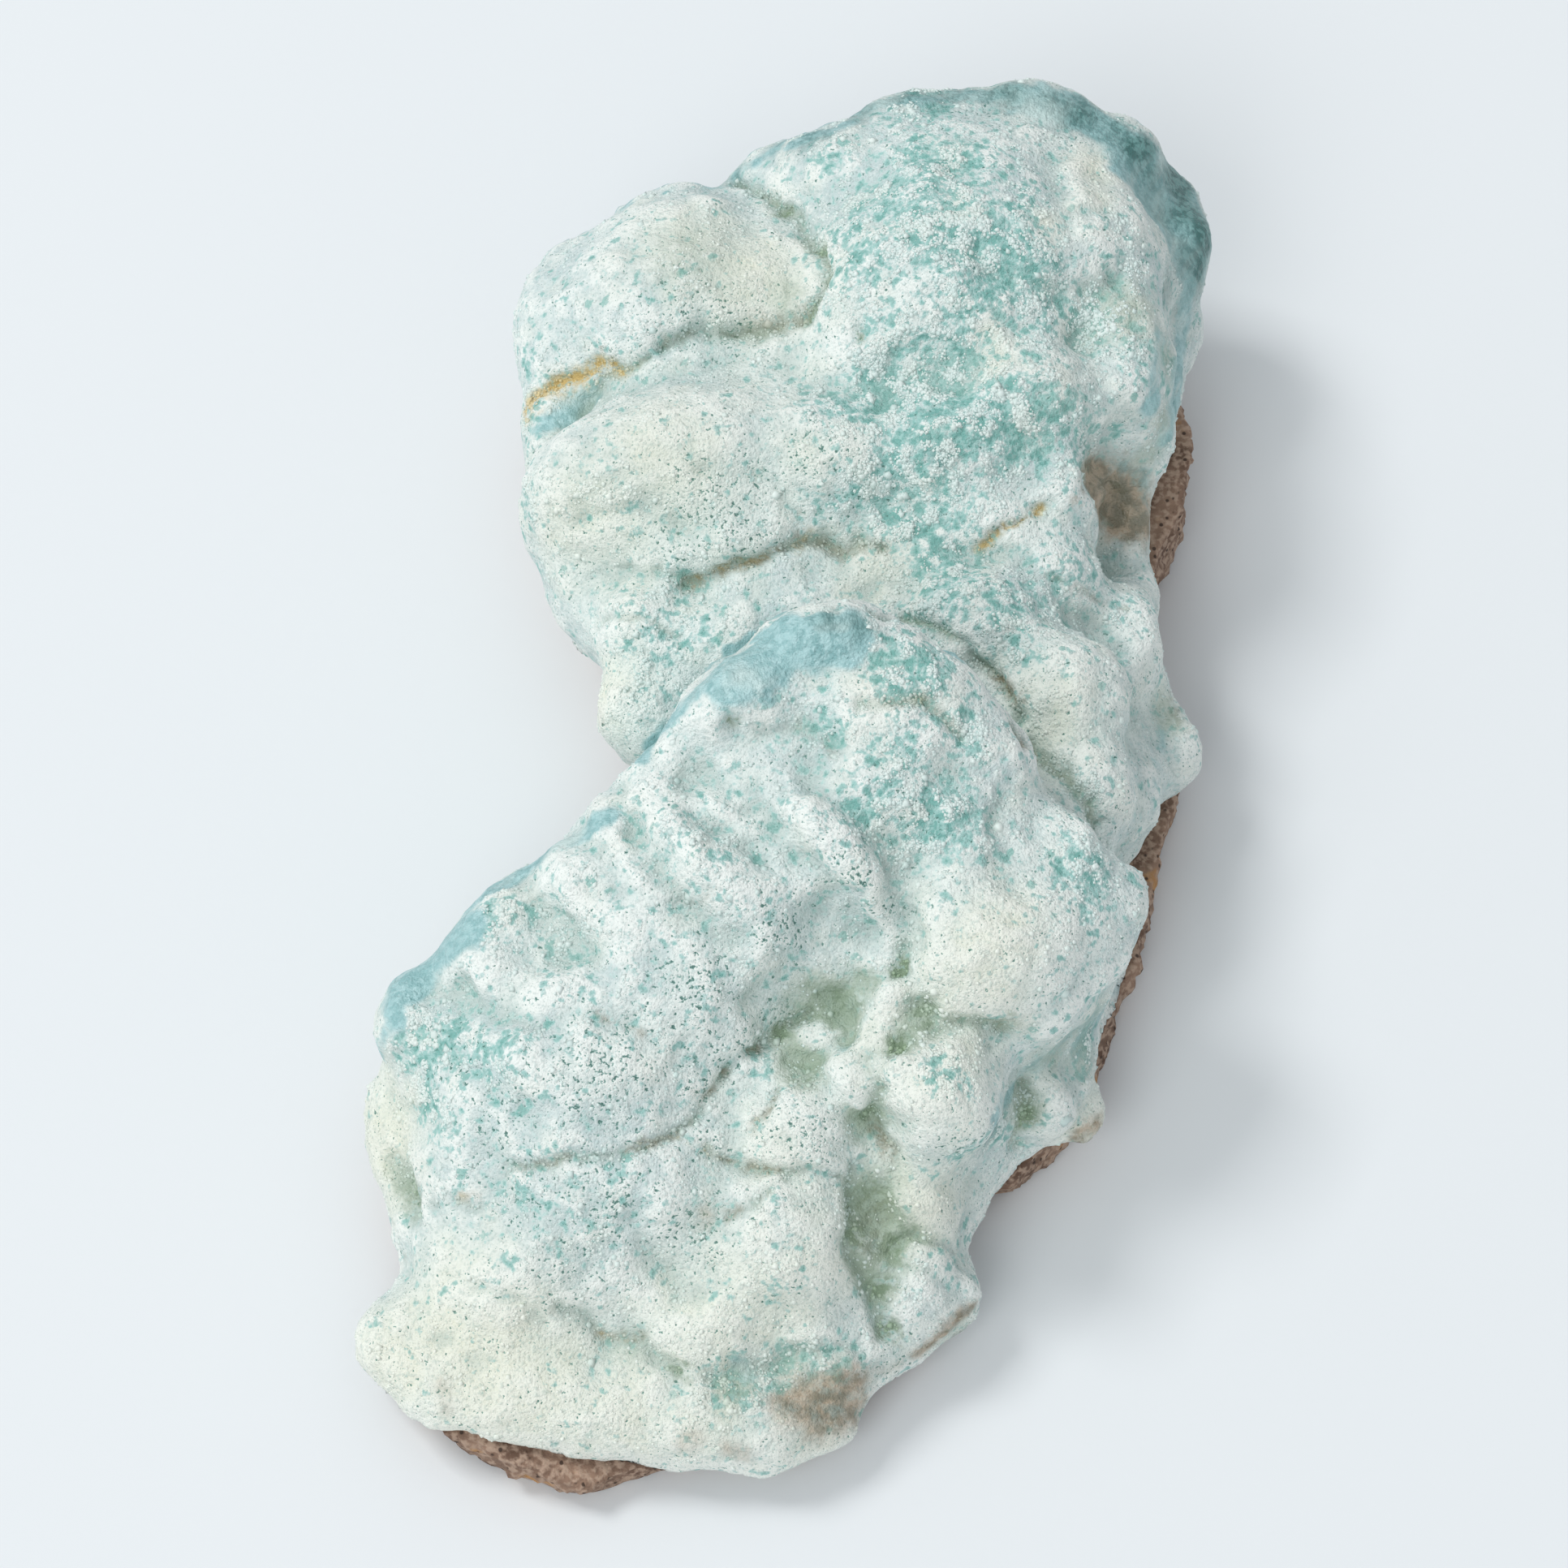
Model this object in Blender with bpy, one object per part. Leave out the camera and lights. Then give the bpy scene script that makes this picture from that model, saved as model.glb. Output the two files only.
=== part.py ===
"""Blue aragonite specimen: a lumpy crust of blue-green aragonite on a thin slab of brown rock.

Run with: blender --background --python part.py

The crust is grown the way the mineral grows. Many rounded lobes stand on three rough cores and fuse
into one skin. The rock slab under it is cut flat at the bottom, and the bed between them undulates.
X is to the right, +Y to the back (the long side), Z up. All sizes below are in millimetres.
"""
import math

import bmesh
import bpy
from mathutils import Euler, Matrix, Vector, noise

MM = 0.001                  # the scene is in metres

# Driving dimensions
GROWTH_VOXEL = 1.5          # cell size at which the lobes fuse into one skin
SKIN_ROUNDING = 3           # smoothing passes after fusing
CRUST_TRIANGLES = 7200      # the crust's share of the triangle budget
ROCK_TRIANGLES = 2300       # the rock's share
BED_BACK = 9.5              # height of the bed between rock and crust under the back mass
BED_FRONT = 4.5             # and at the front edge
BED_FALL = (30.0, -70.0)    # the bed falls between these places along Y
BED_SWELL = 1.5             # how far the bed swells about that
BED_CELL = 6.0              # spacing of the bed's grid
BED_GAP = 0.3               # clearance between rock and crust
ROCK_RAGGED = 1.5           # how far the rock's broken sides wander in and out
ROCK_LAYERS = 7             # rings of points up the rock's side
REACH = 120.0               # half width of the blocks that trim the pieces

CRUST_COLOUR = (0.56, 0.75, 0.70, 1.0)
ROCK_COLOUR = (0.22, 0.13, 0.09, 1.0)

# Three rough cores, each the hull of a few points: crest points first, then points on the floor.
FRONT_CORE = (
    (-42, -26, 22), (-36, -21.5, 27), (-29, -17.5, 32), (-18, -9.5, 38), (-11, -3, 42), (-3, 5, 47), (5, 7, 49),
    (10, 6, 49), (16, 3, 47), (23, -4, 42), (30, -12, 35), (36, -18, 29),
    (-30, -44, 18), (-12, -48, 20), (10, -44, 20),
    (-41, -27, 0), (-36, -15, 0), (-22, -1, 0), (-14, 8, 0), (5, 12, 0), (25, 8, 0), (38, 0, 0), (40, -12, 0),
    (34.5, -28, 0), (28, -36, 0), (21, -38.5, 0), (16, -52, 0), (1, -68, 0), (-18, -69, 0), (-37, -64, 0),
    (-40, -42, 0),
)
SADDLE_CORE = (
    (-13, 14, 18), (-15, 25, 21), (5, 22, 22), (21, 18, 28), (31, 26, 26), (33, 11, 26), (36, 0, 23),
    (-15, 8, 0), (-17, 20, 0), (-20, 30, 0), (39, 30, 0), (39, 18, 0), (39, 8, 0), (38, 0, 0), (0, 0, 0),
)
BACK_CORE = (
    (-25, 66, 21), (-14, 62, 31), (-13, 38, 31), (5, 60, 32), (20, 65, 38), (38, 62, 32), (41, 78, 27),
    (20, 81, 31), (-5, 74, 26), (28, 45, 33), (8, 36, 28),
    (-27, 36, 0), (-28, 56, 0), (-25, 68, 0), (-8, 75, 0), (14, 82, 0), (40, 80, 0), (46, 72, 0), (45, 54, 0),
    (41, 38, 0), (38, 22, 0), (-15, 18, 0),
)

# Lobes. Each row: crown x, y, z; half width, half length, half thickness; turn about Z, lean to the
# front and lean to the right in degrees.
FRONT_LOBES = (
    (-40, -27.5, 26.5, 7, 5, 8, 40, 15, -15), (-29, -20.5, 34, 9, 5, 8, 38, 18, -8),
    (-16.5, -12, 40.5, 10, 5, 8, 36, 20, -6), (-5, -1.5, 47.2, 9, 5, 8, 32, 20, -4),
    (5, 4.5, 50.7, 9, 5, 9, 5, 15, 0), (15, 1, 48.3, 9, 5, 9, -25, 15, 6),
    (12, -4, 47, 12, 6, 8, -22, 20, 5), (23, -5.5, 43, 7, 6, 10, -50, 15, 15),
    (31, -14, 37, 7, 6, 10, -45, 15, 20), (37, -19, 32.5, 5, 7, 9, -20, 15, 25),
    (5, -17, 43.3, 10, 5.5, 7, -48, 25, 0), (-7, -20, 41, 12, 5.5, 7, -53, 25, -5),
    (-13, -22, 38.8, 12, 5.5, 7, -48, 25, -5), (-21, -22, 36.5, 9, 5.5, 7, -36, 25, -8),
    (-31, -26, 32, 8, 5, 8, -30, 22, -12), (11, -10, 44.5, 8, 6, 7, -40, 22, 5),
    (19, -13, 41.5, 8, 6, 8, -30, 20, 8), (23, -25, 38, 13, 11, 12, 0, 22, 12),
    (31, -21, 35, 9, 9, 11, 0, 12, 22), (28, -29, 30.5, 7, 6, 9, 30, 25, 22),
    (-36, -33, 26, 8, 9, 12, 0, 20, -25), (-22, -38, 32, 19, 15, 15, 20, 28, -5),
    (-34, -45, 21, 10, 10, 11, 0, 32, -22), (-18, -49, 25, 16, 12, 12, 0, 35, 0),
    (1, -42.5, 26.5, 8, 7, 9, 0, 25, 5), (1, -53, 22, 11, 11, 12, 0, 32, 8),
    (17, -40, 30, 9.3, 9, 11, 0, 28, 14), (11, -29.5, 31, 3.2, 3.2, 4, 0, 30, 0),
    (6.3, -35.5, 27.5, 3.2, 3.2, 4, 0, 30, 0), (2.5, -32.5, 28, 3, 3, 4, 0, 30, 0),
    (14.5, -47, 18, 6, 6, 9, 0, 32, 15), (14, -55, 13.5, 7.5, 7, 9, 0, 38, 20),
    (29.5, -33, 17, 5, 5.5, 8, 0, 20, 35), (34, -22, 22, 6, 12, 12, 10, 10, 50),
    (-44, -35, 14, 5, 9, 9, 0, 10, -30), (-40, -46, 13, 6, 9, 9, 0, 20, -30),
    (-43, -60, 11, 6, 6, 7, 0, 25, -30), (-36, -66, 11, 8, 7, 9, 0, 38, -15),
    (-29, -67.5, 11, 9, 8, 10, 0, 40, -5), (-20, -69, 10.5, 10, 8, 10, 0, 42, 0),
    (-11, -69, 10.5, 10, 8, 9, 0, 38, 0), (-2, -69.5, 10, 9, 8, 9, 0, 38, 5),
    (6, -62.5, 12, 8, 8, 9, 0, 38, 20), (37, -13, 17, 5, 10, 10, 0, 0, 45),
    (33.5, -25, 15, 5, 8, 9, 0, 10, 45), (28, -34, 12, 7, 5, 8, 0, 30, 30),
    (33.4, -33, 10, 5, 6, 8, 0, 25, 35), (19.3, -54.8, 9.5, 6, 5, 8, 0, 30, 30),
    (12.5, -59.5, 9, 6, 5.5, 7, 0, 35, 20), (4, -67.7, 8.5, 6, 6, 7, 0, 35, 12),
    (-26, -57, 18, 14, 10, 12, 0, 38, 0), (-8, -60, 16, 12, 9, 11, 0, 38, 0),
    (-2, -15, 41, 10, 9, 8, 0, 27, 0), (-12, -30, 35, 12, 9, 9, 0, 28, -4),
)
SADDLE_LOBES = (
    (-17, 21, 27, 7, 6, 10, 0, 10, -15), (-17.5, 13, 23, 7, 6, 9, 0, 10, -20),
    (3, 22.5, 28.5, 10, 6, 9, 0, 10, 0), (-6, 20, 27, 8, 6, 9, 20, 10, 0), (12, 19, 29, 7, 6, 9, 0, 0, 0),
    (30, 26.5, 31, 8, 8, 11, 0, 5, 12), (21, 18.5, 33.5, 9, 8, 11, 0, 5, 0),
    (33, 10.5, 31.5, 9, 9, 11, 0, 5, 18), (36, 0, 28, 7, 8, 10, 0, 5, 28),
    (46.5, 12, 14.5, 5, 5, 8, 0, 0, 40), (41, 5, 19, 6, 8, 9, 0, 0, 35),
    (41.5, 22, 23, 6, 9, 10, 0, 0, 35), (43.5, 17, 15, 5, 7, 8, 0, 0, 35),
    (14, 29, 31, 10, 8, 10, 0, 8, 0), (23, 32, 33, 9, 8, 11, 0, 8, 0),
)
BACK_LOBES = (
    (-13, 38, 36.5, 19, 11, 13, 8, 10, -5), (-26.5, 38, 27, 9, 11, 12, 0, 8, -28),
    (5, 38, 37, 13, 9, 12, 0, 12, 0), (-7, 28.5, 31.5, 13, 6.5, 10, 0, 22, 0),
    (-23.6, 29, 22.5, 7, 8, 10, 0, 10, -25), (-13, 62, 38, 17, 12, 14, 0, -5, -5),
    (-29, 62, 29.5, 8, 12, 13, 0, 0, -32), (0, 65, 36, 10, 9, 11, 0, -5, 0),
    (20, 63, 45, 21, 17, 18, 20, -3, 0), (22, 76, 42, 19, 11, 14, 0, -14, 3),
    (-12, 70, 36, 14, 9, 12, 0, -16, -4), (36, 77, 38, 11, 9, 13, 0, -12, 18),
    (40, 49, 36, 7, 10, 13, 0, 5, 22), (37, 66, 40.5, 12, 14, 15, 0, -5, 18),
    (8, 79.4, 39, 13, 9, 12, 0, -22, -5), (27, 85.5, 39.5, 15, 8, 14, 0, -20, 0),
    (15, 84.3, 39, 12, 8, 13, 0, -22, -4), (41, 82.5, 36.5, 8, 8, 14, 0, -20, 20),
    (48.5, 74, 29, 7, 9, 14, 0, -5, 32), (19, 39, 38.5, 11, 8, 11, 0, 10, 0),
    (28, 45, 39.5, 10, 8, 11, 0, 8, 5), (40, 56, 37.5, 8, 8, 13, 0, 5, 20),
    (30.5, 36, 34, 6, 8, 10, 0, 10, 0), (-13, 76.5, 32, 11, 7, 12, 0, -25, -5),
    (-25, 71, 29, 8, 7, 11, 30, -20, -20), (0, 82, 33, 9, 8, 12, 0, -25, -5),
    (12, 50, 39, 12, 9, 12, 0, 5, 0), (-29, 48, 26, 6, 9, 11, 0, 5, -32),
    (47, 60, 21, 5, 10, 12, 0, 0, 40), (49.5, 68.5, 19, 5, 8, 12, 0, -5, 42),
    (48, 81, 27, 6, 7, 12, 0, -18, 32), (42.5, 31, 17, 4, 7, 9, 0, 0, 35),
    (44.5, 53, 31, 5, 10, 13, 0, 5, 38), (45, 47, 25, 4, 8, 12, 0, 5, 38),
    (42, 39, 19, 4, 7, 10, 0, 5, 35),
)

# Hollows cut out of the fused skin: centre x, y, z and the three half widths.
HOLLOWS = (
    (38.2, 38.2, 33, 5.6, 6, 10.5),     # the iron-stained pocket in the right flank
    (3, -33, 32.5, 8, 6, 7),            # the green pool between the lobes
    (9.3, -47.5, 27.5, 5, 9.5, 8),      # the valley on the lower right
    (11.5, -58, 16, 3.2, 5, 5),         # where the valley runs out
    (12.2, -25.5, 37, 3, 3.5, 5.5),     # the olive pit above the pool
    (-12, -8, 46, 4.5, 3.5, 4),         # a small pit behind the crest
    (25.5, -36, 23, 2.4, 5, 8),         # the narrow groove on the right flank
    (25.3, -44.5, 6, 4.3, 4.5, 12),     # the bay in the lower right edge
)

# The rock slab's outline, from the front left corner clockwise.
ROCK_OUTLINE = (
    (-41, -62), (-39, -52), (-42, -42), (-42, -33), (-40, -25), (-35, -15), (-24, -4), (-17, 6), (-17, 14),
    (-18, 22), (-22.5, 32), (-25.5, 40), (-28, 52), (-28, 63), (-23, 70), (-15, 73), (-4, 76), (4, 80), (17, 82),
    (30, 82), (40, 79), (45, 74), (46, 66), (47, 59), (48.2, 53), (46.8, 45), (44, 39), (41, 31), (41, 22),
    (45, 15), (45.5, 11), (44, 5), (42.3, 1), (41.6, -5), (39, -12), (36, -21), (33.4, -27), (30, -33.5),
    (25.5, -37.4), (21, -38.8), (17.5, -42.5), (16, -48), (17, -52.5), (14.5, -57), (10.5, -60.5), (6.5, -65),
    (2, -68), (-3, -68.5), (-12, -70), (-17, -71.5), (-21, -73), (-27.5, -71.5), (-33, -68.5), (-38, -64.5),
)


def clear_scene():
    """Removes whatever the open file holds."""
    for thing in list(bpy.context.scene.objects):
        bpy.data.objects.remove(thing, do_unlink=True)


def plain_material(name, colour, roughness):
    """Makes a Principled material of one colour."""
    material = bpy.data.materials.new(name)
    material.use_nodes = True
    shader = material.node_tree.nodes["Principled BSDF"]
    shader.inputs["Base Color"].default_value = colour
    shader.inputs["Roughness"].default_value = roughness
    shader.inputs["Metallic"].default_value = 0.0
    material.diffuse_color = colour
    return material


def new_object(name, bm):
    """Turns a bmesh in millimetres into a scene object in metres."""
    bmesh.ops.scale(bm, vec=(MM, MM, MM), verts=bm.verts)
    mesh = bpy.data.meshes.new(name)
    bm.to_mesh(mesh)
    bm.free()
    thing = bpy.data.objects.new(name, mesh)
    bpy.context.scene.collection.objects.link(thing)
    return thing


def apply_modifiers(thing):
    """Replaces the object's mesh by its evaluated one."""
    depsgraph = bpy.context.evaluated_depsgraph_get()
    result = bpy.data.meshes.new_from_object(thing.evaluated_get(depsgraph))
    thing.modifiers.clear()
    thing.data = result


def cut_away(thing, bm):
    """Cuts a block, given in millimetres, out of the object and discards the block."""
    block = new_object("block", bm)
    cut = thing.modifiers.new("cut", "BOOLEAN")
    cut.operation = "DIFFERENCE"
    cut.solver = "EXACT"
    cut.object = block
    apply_modifiers(thing)
    bpy.data.objects.remove(block, do_unlink=True)


def add_ellipsoid(bm, centre, half_sizes, turning, detail):
    """Adds a closed ellipsoid to the bmesh."""
    matrix = Matrix.Translation(centre) @ turning @ Matrix.Diagonal((*half_sizes, 1.0))
    bmesh.ops.create_icosphere(bm, subdivisions=detail, radius=1.0, matrix=matrix)


def add_lobe(bm, x, y, z, width, length, depth, turn, front, right):
    """Adds a lobe that hangs from its crown, leaning to the front and to the right."""
    angles = (math.radians(front), math.radians(right), 0.0)
    turning = Euler(angles).to_matrix().to_4x4()
    outward = turning @ Vector((0.0, 0.0, 1.0))
    turning = turning @ Matrix.Rotation(math.radians(turn), 4, "Z")
    add_ellipsoid(bm, Vector((x, y, z)) - outward * depth, (width, length, depth), turning, 3)


def add_core(bm, points):
    """Adds the convex hull of the points."""
    verts = [bm.verts.new(point) for point in points]
    hull = bmesh.ops.convex_hull(bm, input=verts)
    unused = [v for v in hull["geom_unused"] if isinstance(v, bmesh.types.BMVert)]
    bmesh.ops.delete(bm, geom=unused, context="VERTS")


def bed_level(x, y):
    """Height of the bed between rock and crust: long swells on a floor that falls to the front."""
    back, front = BED_FALL
    along = max(0.0, min(1.0, (back - y) / (back - front)))
    swell = math.sin(x / 13.0 + 0.7) * math.cos(y / 17.0) + 0.6 * math.sin(x / 7.0 - y / 11.0)
    return BED_BACK + (BED_FRONT - BED_BACK) * along + BED_SWELL * swell


def bed_block(above, shift):
    """A block bounded by the bed, either all that is above it or all that is below it."""
    bm = bmesh.new()
    steps = int(2 * REACH / BED_CELL)
    bmesh.ops.create_grid(bm, x_segments=steps, y_segments=steps, size=REACH)
    for vert in bm.verts:
        vert.co.z = bed_level(vert.co.x, vert.co.y) + shift
    sheet = list(bm.faces)
    far = REACH if above else -REACH
    extruded = bmesh.ops.extrude_face_region(bm, geom=sheet)
    for item in extruded["geom"]:
        if isinstance(item, bmesh.types.BMVert):
            item.co.z = far
    bmesh.ops.recalc_face_normals(bm, faces=bm.faces)
    return bm


def floor_block():
    """Everything below the flat base."""
    bm = bmesh.new()
    matrix = Matrix.Translation((0.0, 0.0, -REACH)) @ Matrix.Scale(2 * REACH, 4)
    bmesh.ops.create_cube(bm, size=1.0, matrix=matrix)
    return bm


def fuse(thing, voxel, rounding, triangles):
    """Fuses overlapping shells into one closed skin, rounds it and thins it to the triangle budget."""
    remesh = thing.modifiers.new("fuse", "REMESH")
    remesh.mode = "VOXEL"
    remesh.voxel_size = voxel * MM
    remesh.adaptivity = 0.0
    smooth = thing.modifiers.new("round", "SMOOTH")
    smooth.factor = 0.5
    smooth.iterations = rounding
    apply_modifiers(thing)
    thin = thing.modifiers.new("thin", "DECIMATE")
    thin.ratio = min(1.0, triangles / (2.0 * len(thing.data.polygons)))
    thin.use_collapse_triangulate = True
    apply_modifiers(thing)


def clean(thing):
    """Merges doubled points and leaves plain triangles."""
    bm = bmesh.new()
    bm.from_mesh(thing.data)
    bmesh.ops.remove_doubles(bm, verts=bm.verts, dist=0.00005)
    bmesh.ops.dissolve_degenerate(bm, edges=bm.edges, dist=0.00002)
    bmesh.ops.triangulate(bm, faces=bm.faces)
    bmesh.ops.recalc_face_normals(bm, faces=bm.faces)
    bm.to_mesh(thing.data)
    bm.free()


def make_crust(material):
    """The aragonite crust: lobes and cores fused, hollowed, and cut off at the bed."""
    bm = bmesh.new()
    for core in (FRONT_CORE, SADDLE_CORE, BACK_CORE):
        add_core(bm, core)
    for lobe in FRONT_LOBES + SADDLE_LOBES + BACK_LOBES:
        add_lobe(bm, *lobe)
    crust = new_object("aragonite_crust", bm)
    fuse(crust, GROWTH_VOXEL, 0, 60000)
    hollows = bmesh.new()
    for x, y, z, width, length, depth in HOLLOWS:
        add_ellipsoid(hollows, Vector((x, y, z)), (width, length, depth), Matrix.Identity(4), 3)
    cut_away(crust, hollows)
    fuse(crust, GROWTH_VOXEL, SKIN_ROUNDING, CRUST_TRIANGLES)
    cut_away(crust, bed_block(above=False, shift=0.0))
    clean(crust)
    crust.data.materials.clear()
    crust.data.materials.append(material)
    return crust


def make_rock(material):
    """The rock slab: a ragged outline carried up to the bed, flat at the bottom."""
    bm = bmesh.new()
    top = BED_BACK + 3 * BED_SWELL
    rings = []
    for layer in range(ROCK_LAYERS + 1):
        height = top * layer / ROCK_LAYERS
        ring = []
        for x, y in ROCK_OUTLINE:
            outward = Vector((x, y, 0.0)).normalized()
            wander = ROCK_RAGGED * noise.noise(Vector((x, y, 1.7 * height)) / 6.0)
            ring.append(bm.verts.new(Vector((x, y, height)) + outward * wander))
        rings.append(ring)
    count = len(ROCK_OUTLINE)
    for lower, upper in zip(rings, rings[1:]):
        for i in range(count):
            j = (i + 1) % count
            bm.faces.new((lower[i], lower[j], upper[j], upper[i]))
    bm.faces.new(rings[0])
    bm.faces.new(rings[-1])
    bmesh.ops.triangulate(bm, faces=bm.faces)
    bmesh.ops.recalc_face_normals(bm, faces=bm.faces)
    rock = new_object("matrix_rock", bm)
    fuse(rock, GROWTH_VOXEL, 2, ROCK_TRIANGLES)
    cut_away(rock, bed_block(above=True, shift=-BED_GAP))
    cut_away(rock, floor_block())
    clean(rock)
    rock.data.materials.clear()
    rock.data.materials.append(material)
    return rock


def main():
    clear_scene()
    crust = make_crust(plain_material("aragonite", CRUST_COLOUR, 0.55))
    rock = make_rock(plain_material("brown_rock", ROCK_COLOUR, 0.9))
    for piece in (crust, rock):
        print(piece.name, len(piece.data.polygons), "triangles")


main()
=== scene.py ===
# %% [markdown]
# # A blue aragonite specimen
# Blue aragonite grows as a crust of rounded lobes on brown rock. The lobes are waxy and blue-green
# inside, and a frost of tiny white crystals covers them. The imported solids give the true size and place
# of the crust and of the rock. This lesson makes the fine surface of both, and their colours.

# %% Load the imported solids
import math

import bpy
import numpy as np
from mathutils import Euler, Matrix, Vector
from mathutils.bvhtree import BVHTree


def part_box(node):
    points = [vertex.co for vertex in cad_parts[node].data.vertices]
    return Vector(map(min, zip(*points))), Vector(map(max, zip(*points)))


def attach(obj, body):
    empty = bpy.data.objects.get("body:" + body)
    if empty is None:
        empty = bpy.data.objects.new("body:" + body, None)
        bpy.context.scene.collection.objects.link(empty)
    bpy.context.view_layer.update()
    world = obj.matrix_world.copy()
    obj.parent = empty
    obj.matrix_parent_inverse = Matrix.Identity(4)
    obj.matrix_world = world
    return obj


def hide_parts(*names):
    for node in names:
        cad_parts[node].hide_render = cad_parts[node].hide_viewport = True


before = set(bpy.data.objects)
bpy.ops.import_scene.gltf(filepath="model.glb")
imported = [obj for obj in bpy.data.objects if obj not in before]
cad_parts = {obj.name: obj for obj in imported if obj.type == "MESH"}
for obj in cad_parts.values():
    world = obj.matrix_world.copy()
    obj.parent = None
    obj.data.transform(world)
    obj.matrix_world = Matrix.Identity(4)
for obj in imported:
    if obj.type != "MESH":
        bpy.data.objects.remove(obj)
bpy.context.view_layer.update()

MM = 0.001

# %% [markdown]
# ## The camera
# The photograph looks down on the specimen at 60 degrees with a long lens. The camera comes first,
# because a place on the photograph can then be carried onto the stone: a ray through that pixel meets
# the crust at one point, and each furrow, stain and patch of frost is set there, on the stone itself.

# %% Set the camera at the photograph's angle
PHOTO_SIDE = 1932
LOOK_DOWN = math.radians(60)
LOOK_AT = Vector((0, 0, 25)) * MM
EYE_DISTANCE = 473.6 * MM

lens = bpy.data.cameras.new("portrait_lens")
lens.lens = 100
lens.sensor_width = 36
camera = bpy.data.objects.new("camera", lens)
camera.rotation_euler = Euler((math.pi / 2 - LOOK_DOWN, 0, 0))
camera.location = LOOK_AT + EYE_DISTANCE * Vector((0, -math.cos(LOOK_DOWN), math.sin(LOOK_DOWN)))
bpy.context.scene.collection.objects.link(camera)
bpy.context.scene.camera = camera
PIXELS_AWAY = PHOTO_SIDE * lens.lens / lens.sensor_width
print("the eye is at", [round(c / MM, 1) for c in camera.location], "mm")


# %% [markdown]
# ## The skin of the crust
# The CAD solid has few faces, so its lobes look cut. A subdivision rounds them, and a remesh gives the
# skin small even squares that can carry fine relief. The side that lies on the rock is never seen, so
# its faces are thinned out and the visible side keeps nearly all of them. Sculpting by hand would give
# the same relief, but code can be run again.

# %% Change a mesh, copy a solid and read its vertices
def shaped(thing, *steps):
    """Puts modifiers on a thing, one after the other, and keeps the mesh that they make."""
    for kind, settings in steps:
        modifier = thing.modifiers.new(kind.title(), kind)
        for name, value in settings.items():
            setattr(modifier, name, value)
    seen = thing.evaluated_get(bpy.context.evaluated_depsgraph_get())
    made = bpy.data.meshes.new_from_object(seen)
    thing.modifiers.clear()
    thing.data = made
    return thing


def copy_of_node(node, name):
    """A new object with a copy of a CAD node's mesh, its corners joined."""
    thing = bpy.data.objects.new(name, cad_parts[node].data.copy())
    bpy.context.scene.collection.objects.link(thing)
    thing.data.materials.clear()
    return shaped(thing, ("WELD", {"merge_threshold": 1e-6}))


def of_vertices(mesh, what="co"):
    """Places in millimetres, or normals, of all vertices as one array."""
    flat = np.empty(len(mesh.vertices) * 3, np.float32)
    mesh.vertices.foreach_get(what, flat)
    return flat.reshape(-1, 3).astype(float) / (MM if what == "co" else 1)


def move_vertices(mesh, places):
    mesh.vertices.foreach_set("co", (places * MM).astype(np.float32).ravel())
    mesh.update()


crust = copy_of_node("aragonite_crust", "aragonite_growth")
print("the solid crust:", len(crust.data.vertices), "corners")

# %% Make a fine skin from the solid
SKIN_CELL = 0.46 * MM
MOST_TRIANGLES = 194000
FACES_DOWN = -0.75
solid_points = of_vertices(crust.data)
solid_faces = [tuple(face.vertices) for face in crust.data.polygons]
shaped(
    crust,
    ("SUBSURF", {"levels": 2, "render_levels": 2}),
    ("REMESH", {"mode": "VOXEL", "voxel_size": SKIN_CELL, "use_smooth_shade": True}),
    ("SMOOTH", {"factor": 0.5, "iterations": 12}),
)
normals = of_vertices(crust.data, "normal")
underside = crust.vertex_groups.new(name="underside")
underside.add([int(i) for i in np.nonzero(normals[:, 2] < FACES_DOWN)[0]], 1.0, "REPLACE")
faces_before = len(crust.data.polygons)
unseen_first = {"vertex_group": "underside", "vertex_group_factor": 20}
thinned = {"ratio": MOST_TRIANGLES / (2 * faces_before), **unseen_first}
shaped(crust, ("TRIANGULATE", {}), ("DECIMATE", thinned))
shaped(crust, ("DECIMATE", {"ratio": min(1, MOST_TRIANGLES / len(crust.data.polygons))}))
print("skin:", len(crust.data.polygons), "triangles from", faces_before, "squares")


# %% [markdown]
# ## Places and patterns
# Every later step asks two things of a point on the skin: how near is it to a line or a spot that was
# marked on the photograph, and what does a natural pattern say there. Two patterns are enough. Clouds
# are soft and have no edges. Crumbs are like packed grains, each with a middle and a gap round it. Each
# takes a size in mm and a salt, a number that only picks another pattern of the same kind. Nature draws
# no straight edges, so the marks are looked up from points that wander a little off their true places.

# %% Find marked places on the skin
skin = of_vertices(crust.data)
skin_normals = of_vertices(crust.data, "normal")
solid_tree = BVHTree.FromPolygons([Vector(p) for p in solid_points], solid_faces)
PULLS = (1, 0.99, 0.98, 0.97, 0.96, 0.95)  # a ray that passes beside the stone is bent inward


def on_skin(pixels, step=5):
    """The points of the crust, in mm, that the photograph shows along a path of pixels."""
    path = []
    for (x0, y0), (x1, y1) in zip(pixels, pixels[1:] or pixels):
        count = max(1, int(math.hypot(x1 - x0, y1 - y0) / step))
        path += [(x0 + (x1 - x0) * i / count, y0 + (y1 - y0) * i / count) for i in range(count + 1)]
    turn = camera.rotation_euler.to_matrix()
    found = []
    for x, y in path:
        across, up = x - PHOTO_SIDE / 2, PHOTO_SIDE / 2 - y
        for pull in PULLS:
            ray = turn @ Vector((across * pull / PIXELS_AWAY, up * pull / PIXELS_AWAY, -1)).normalized()
            hit = solid_tree.ray_cast(camera.location / MM, ray)[0]
            if hit:
                found.append(hit)
                break
    return np.array(found).reshape(-1, 3)


middle = PHOTO_SIDE / 2
print("the middle of the photograph shows", on_skin([(middle, middle)])[0].round(1), "mm")


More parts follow.
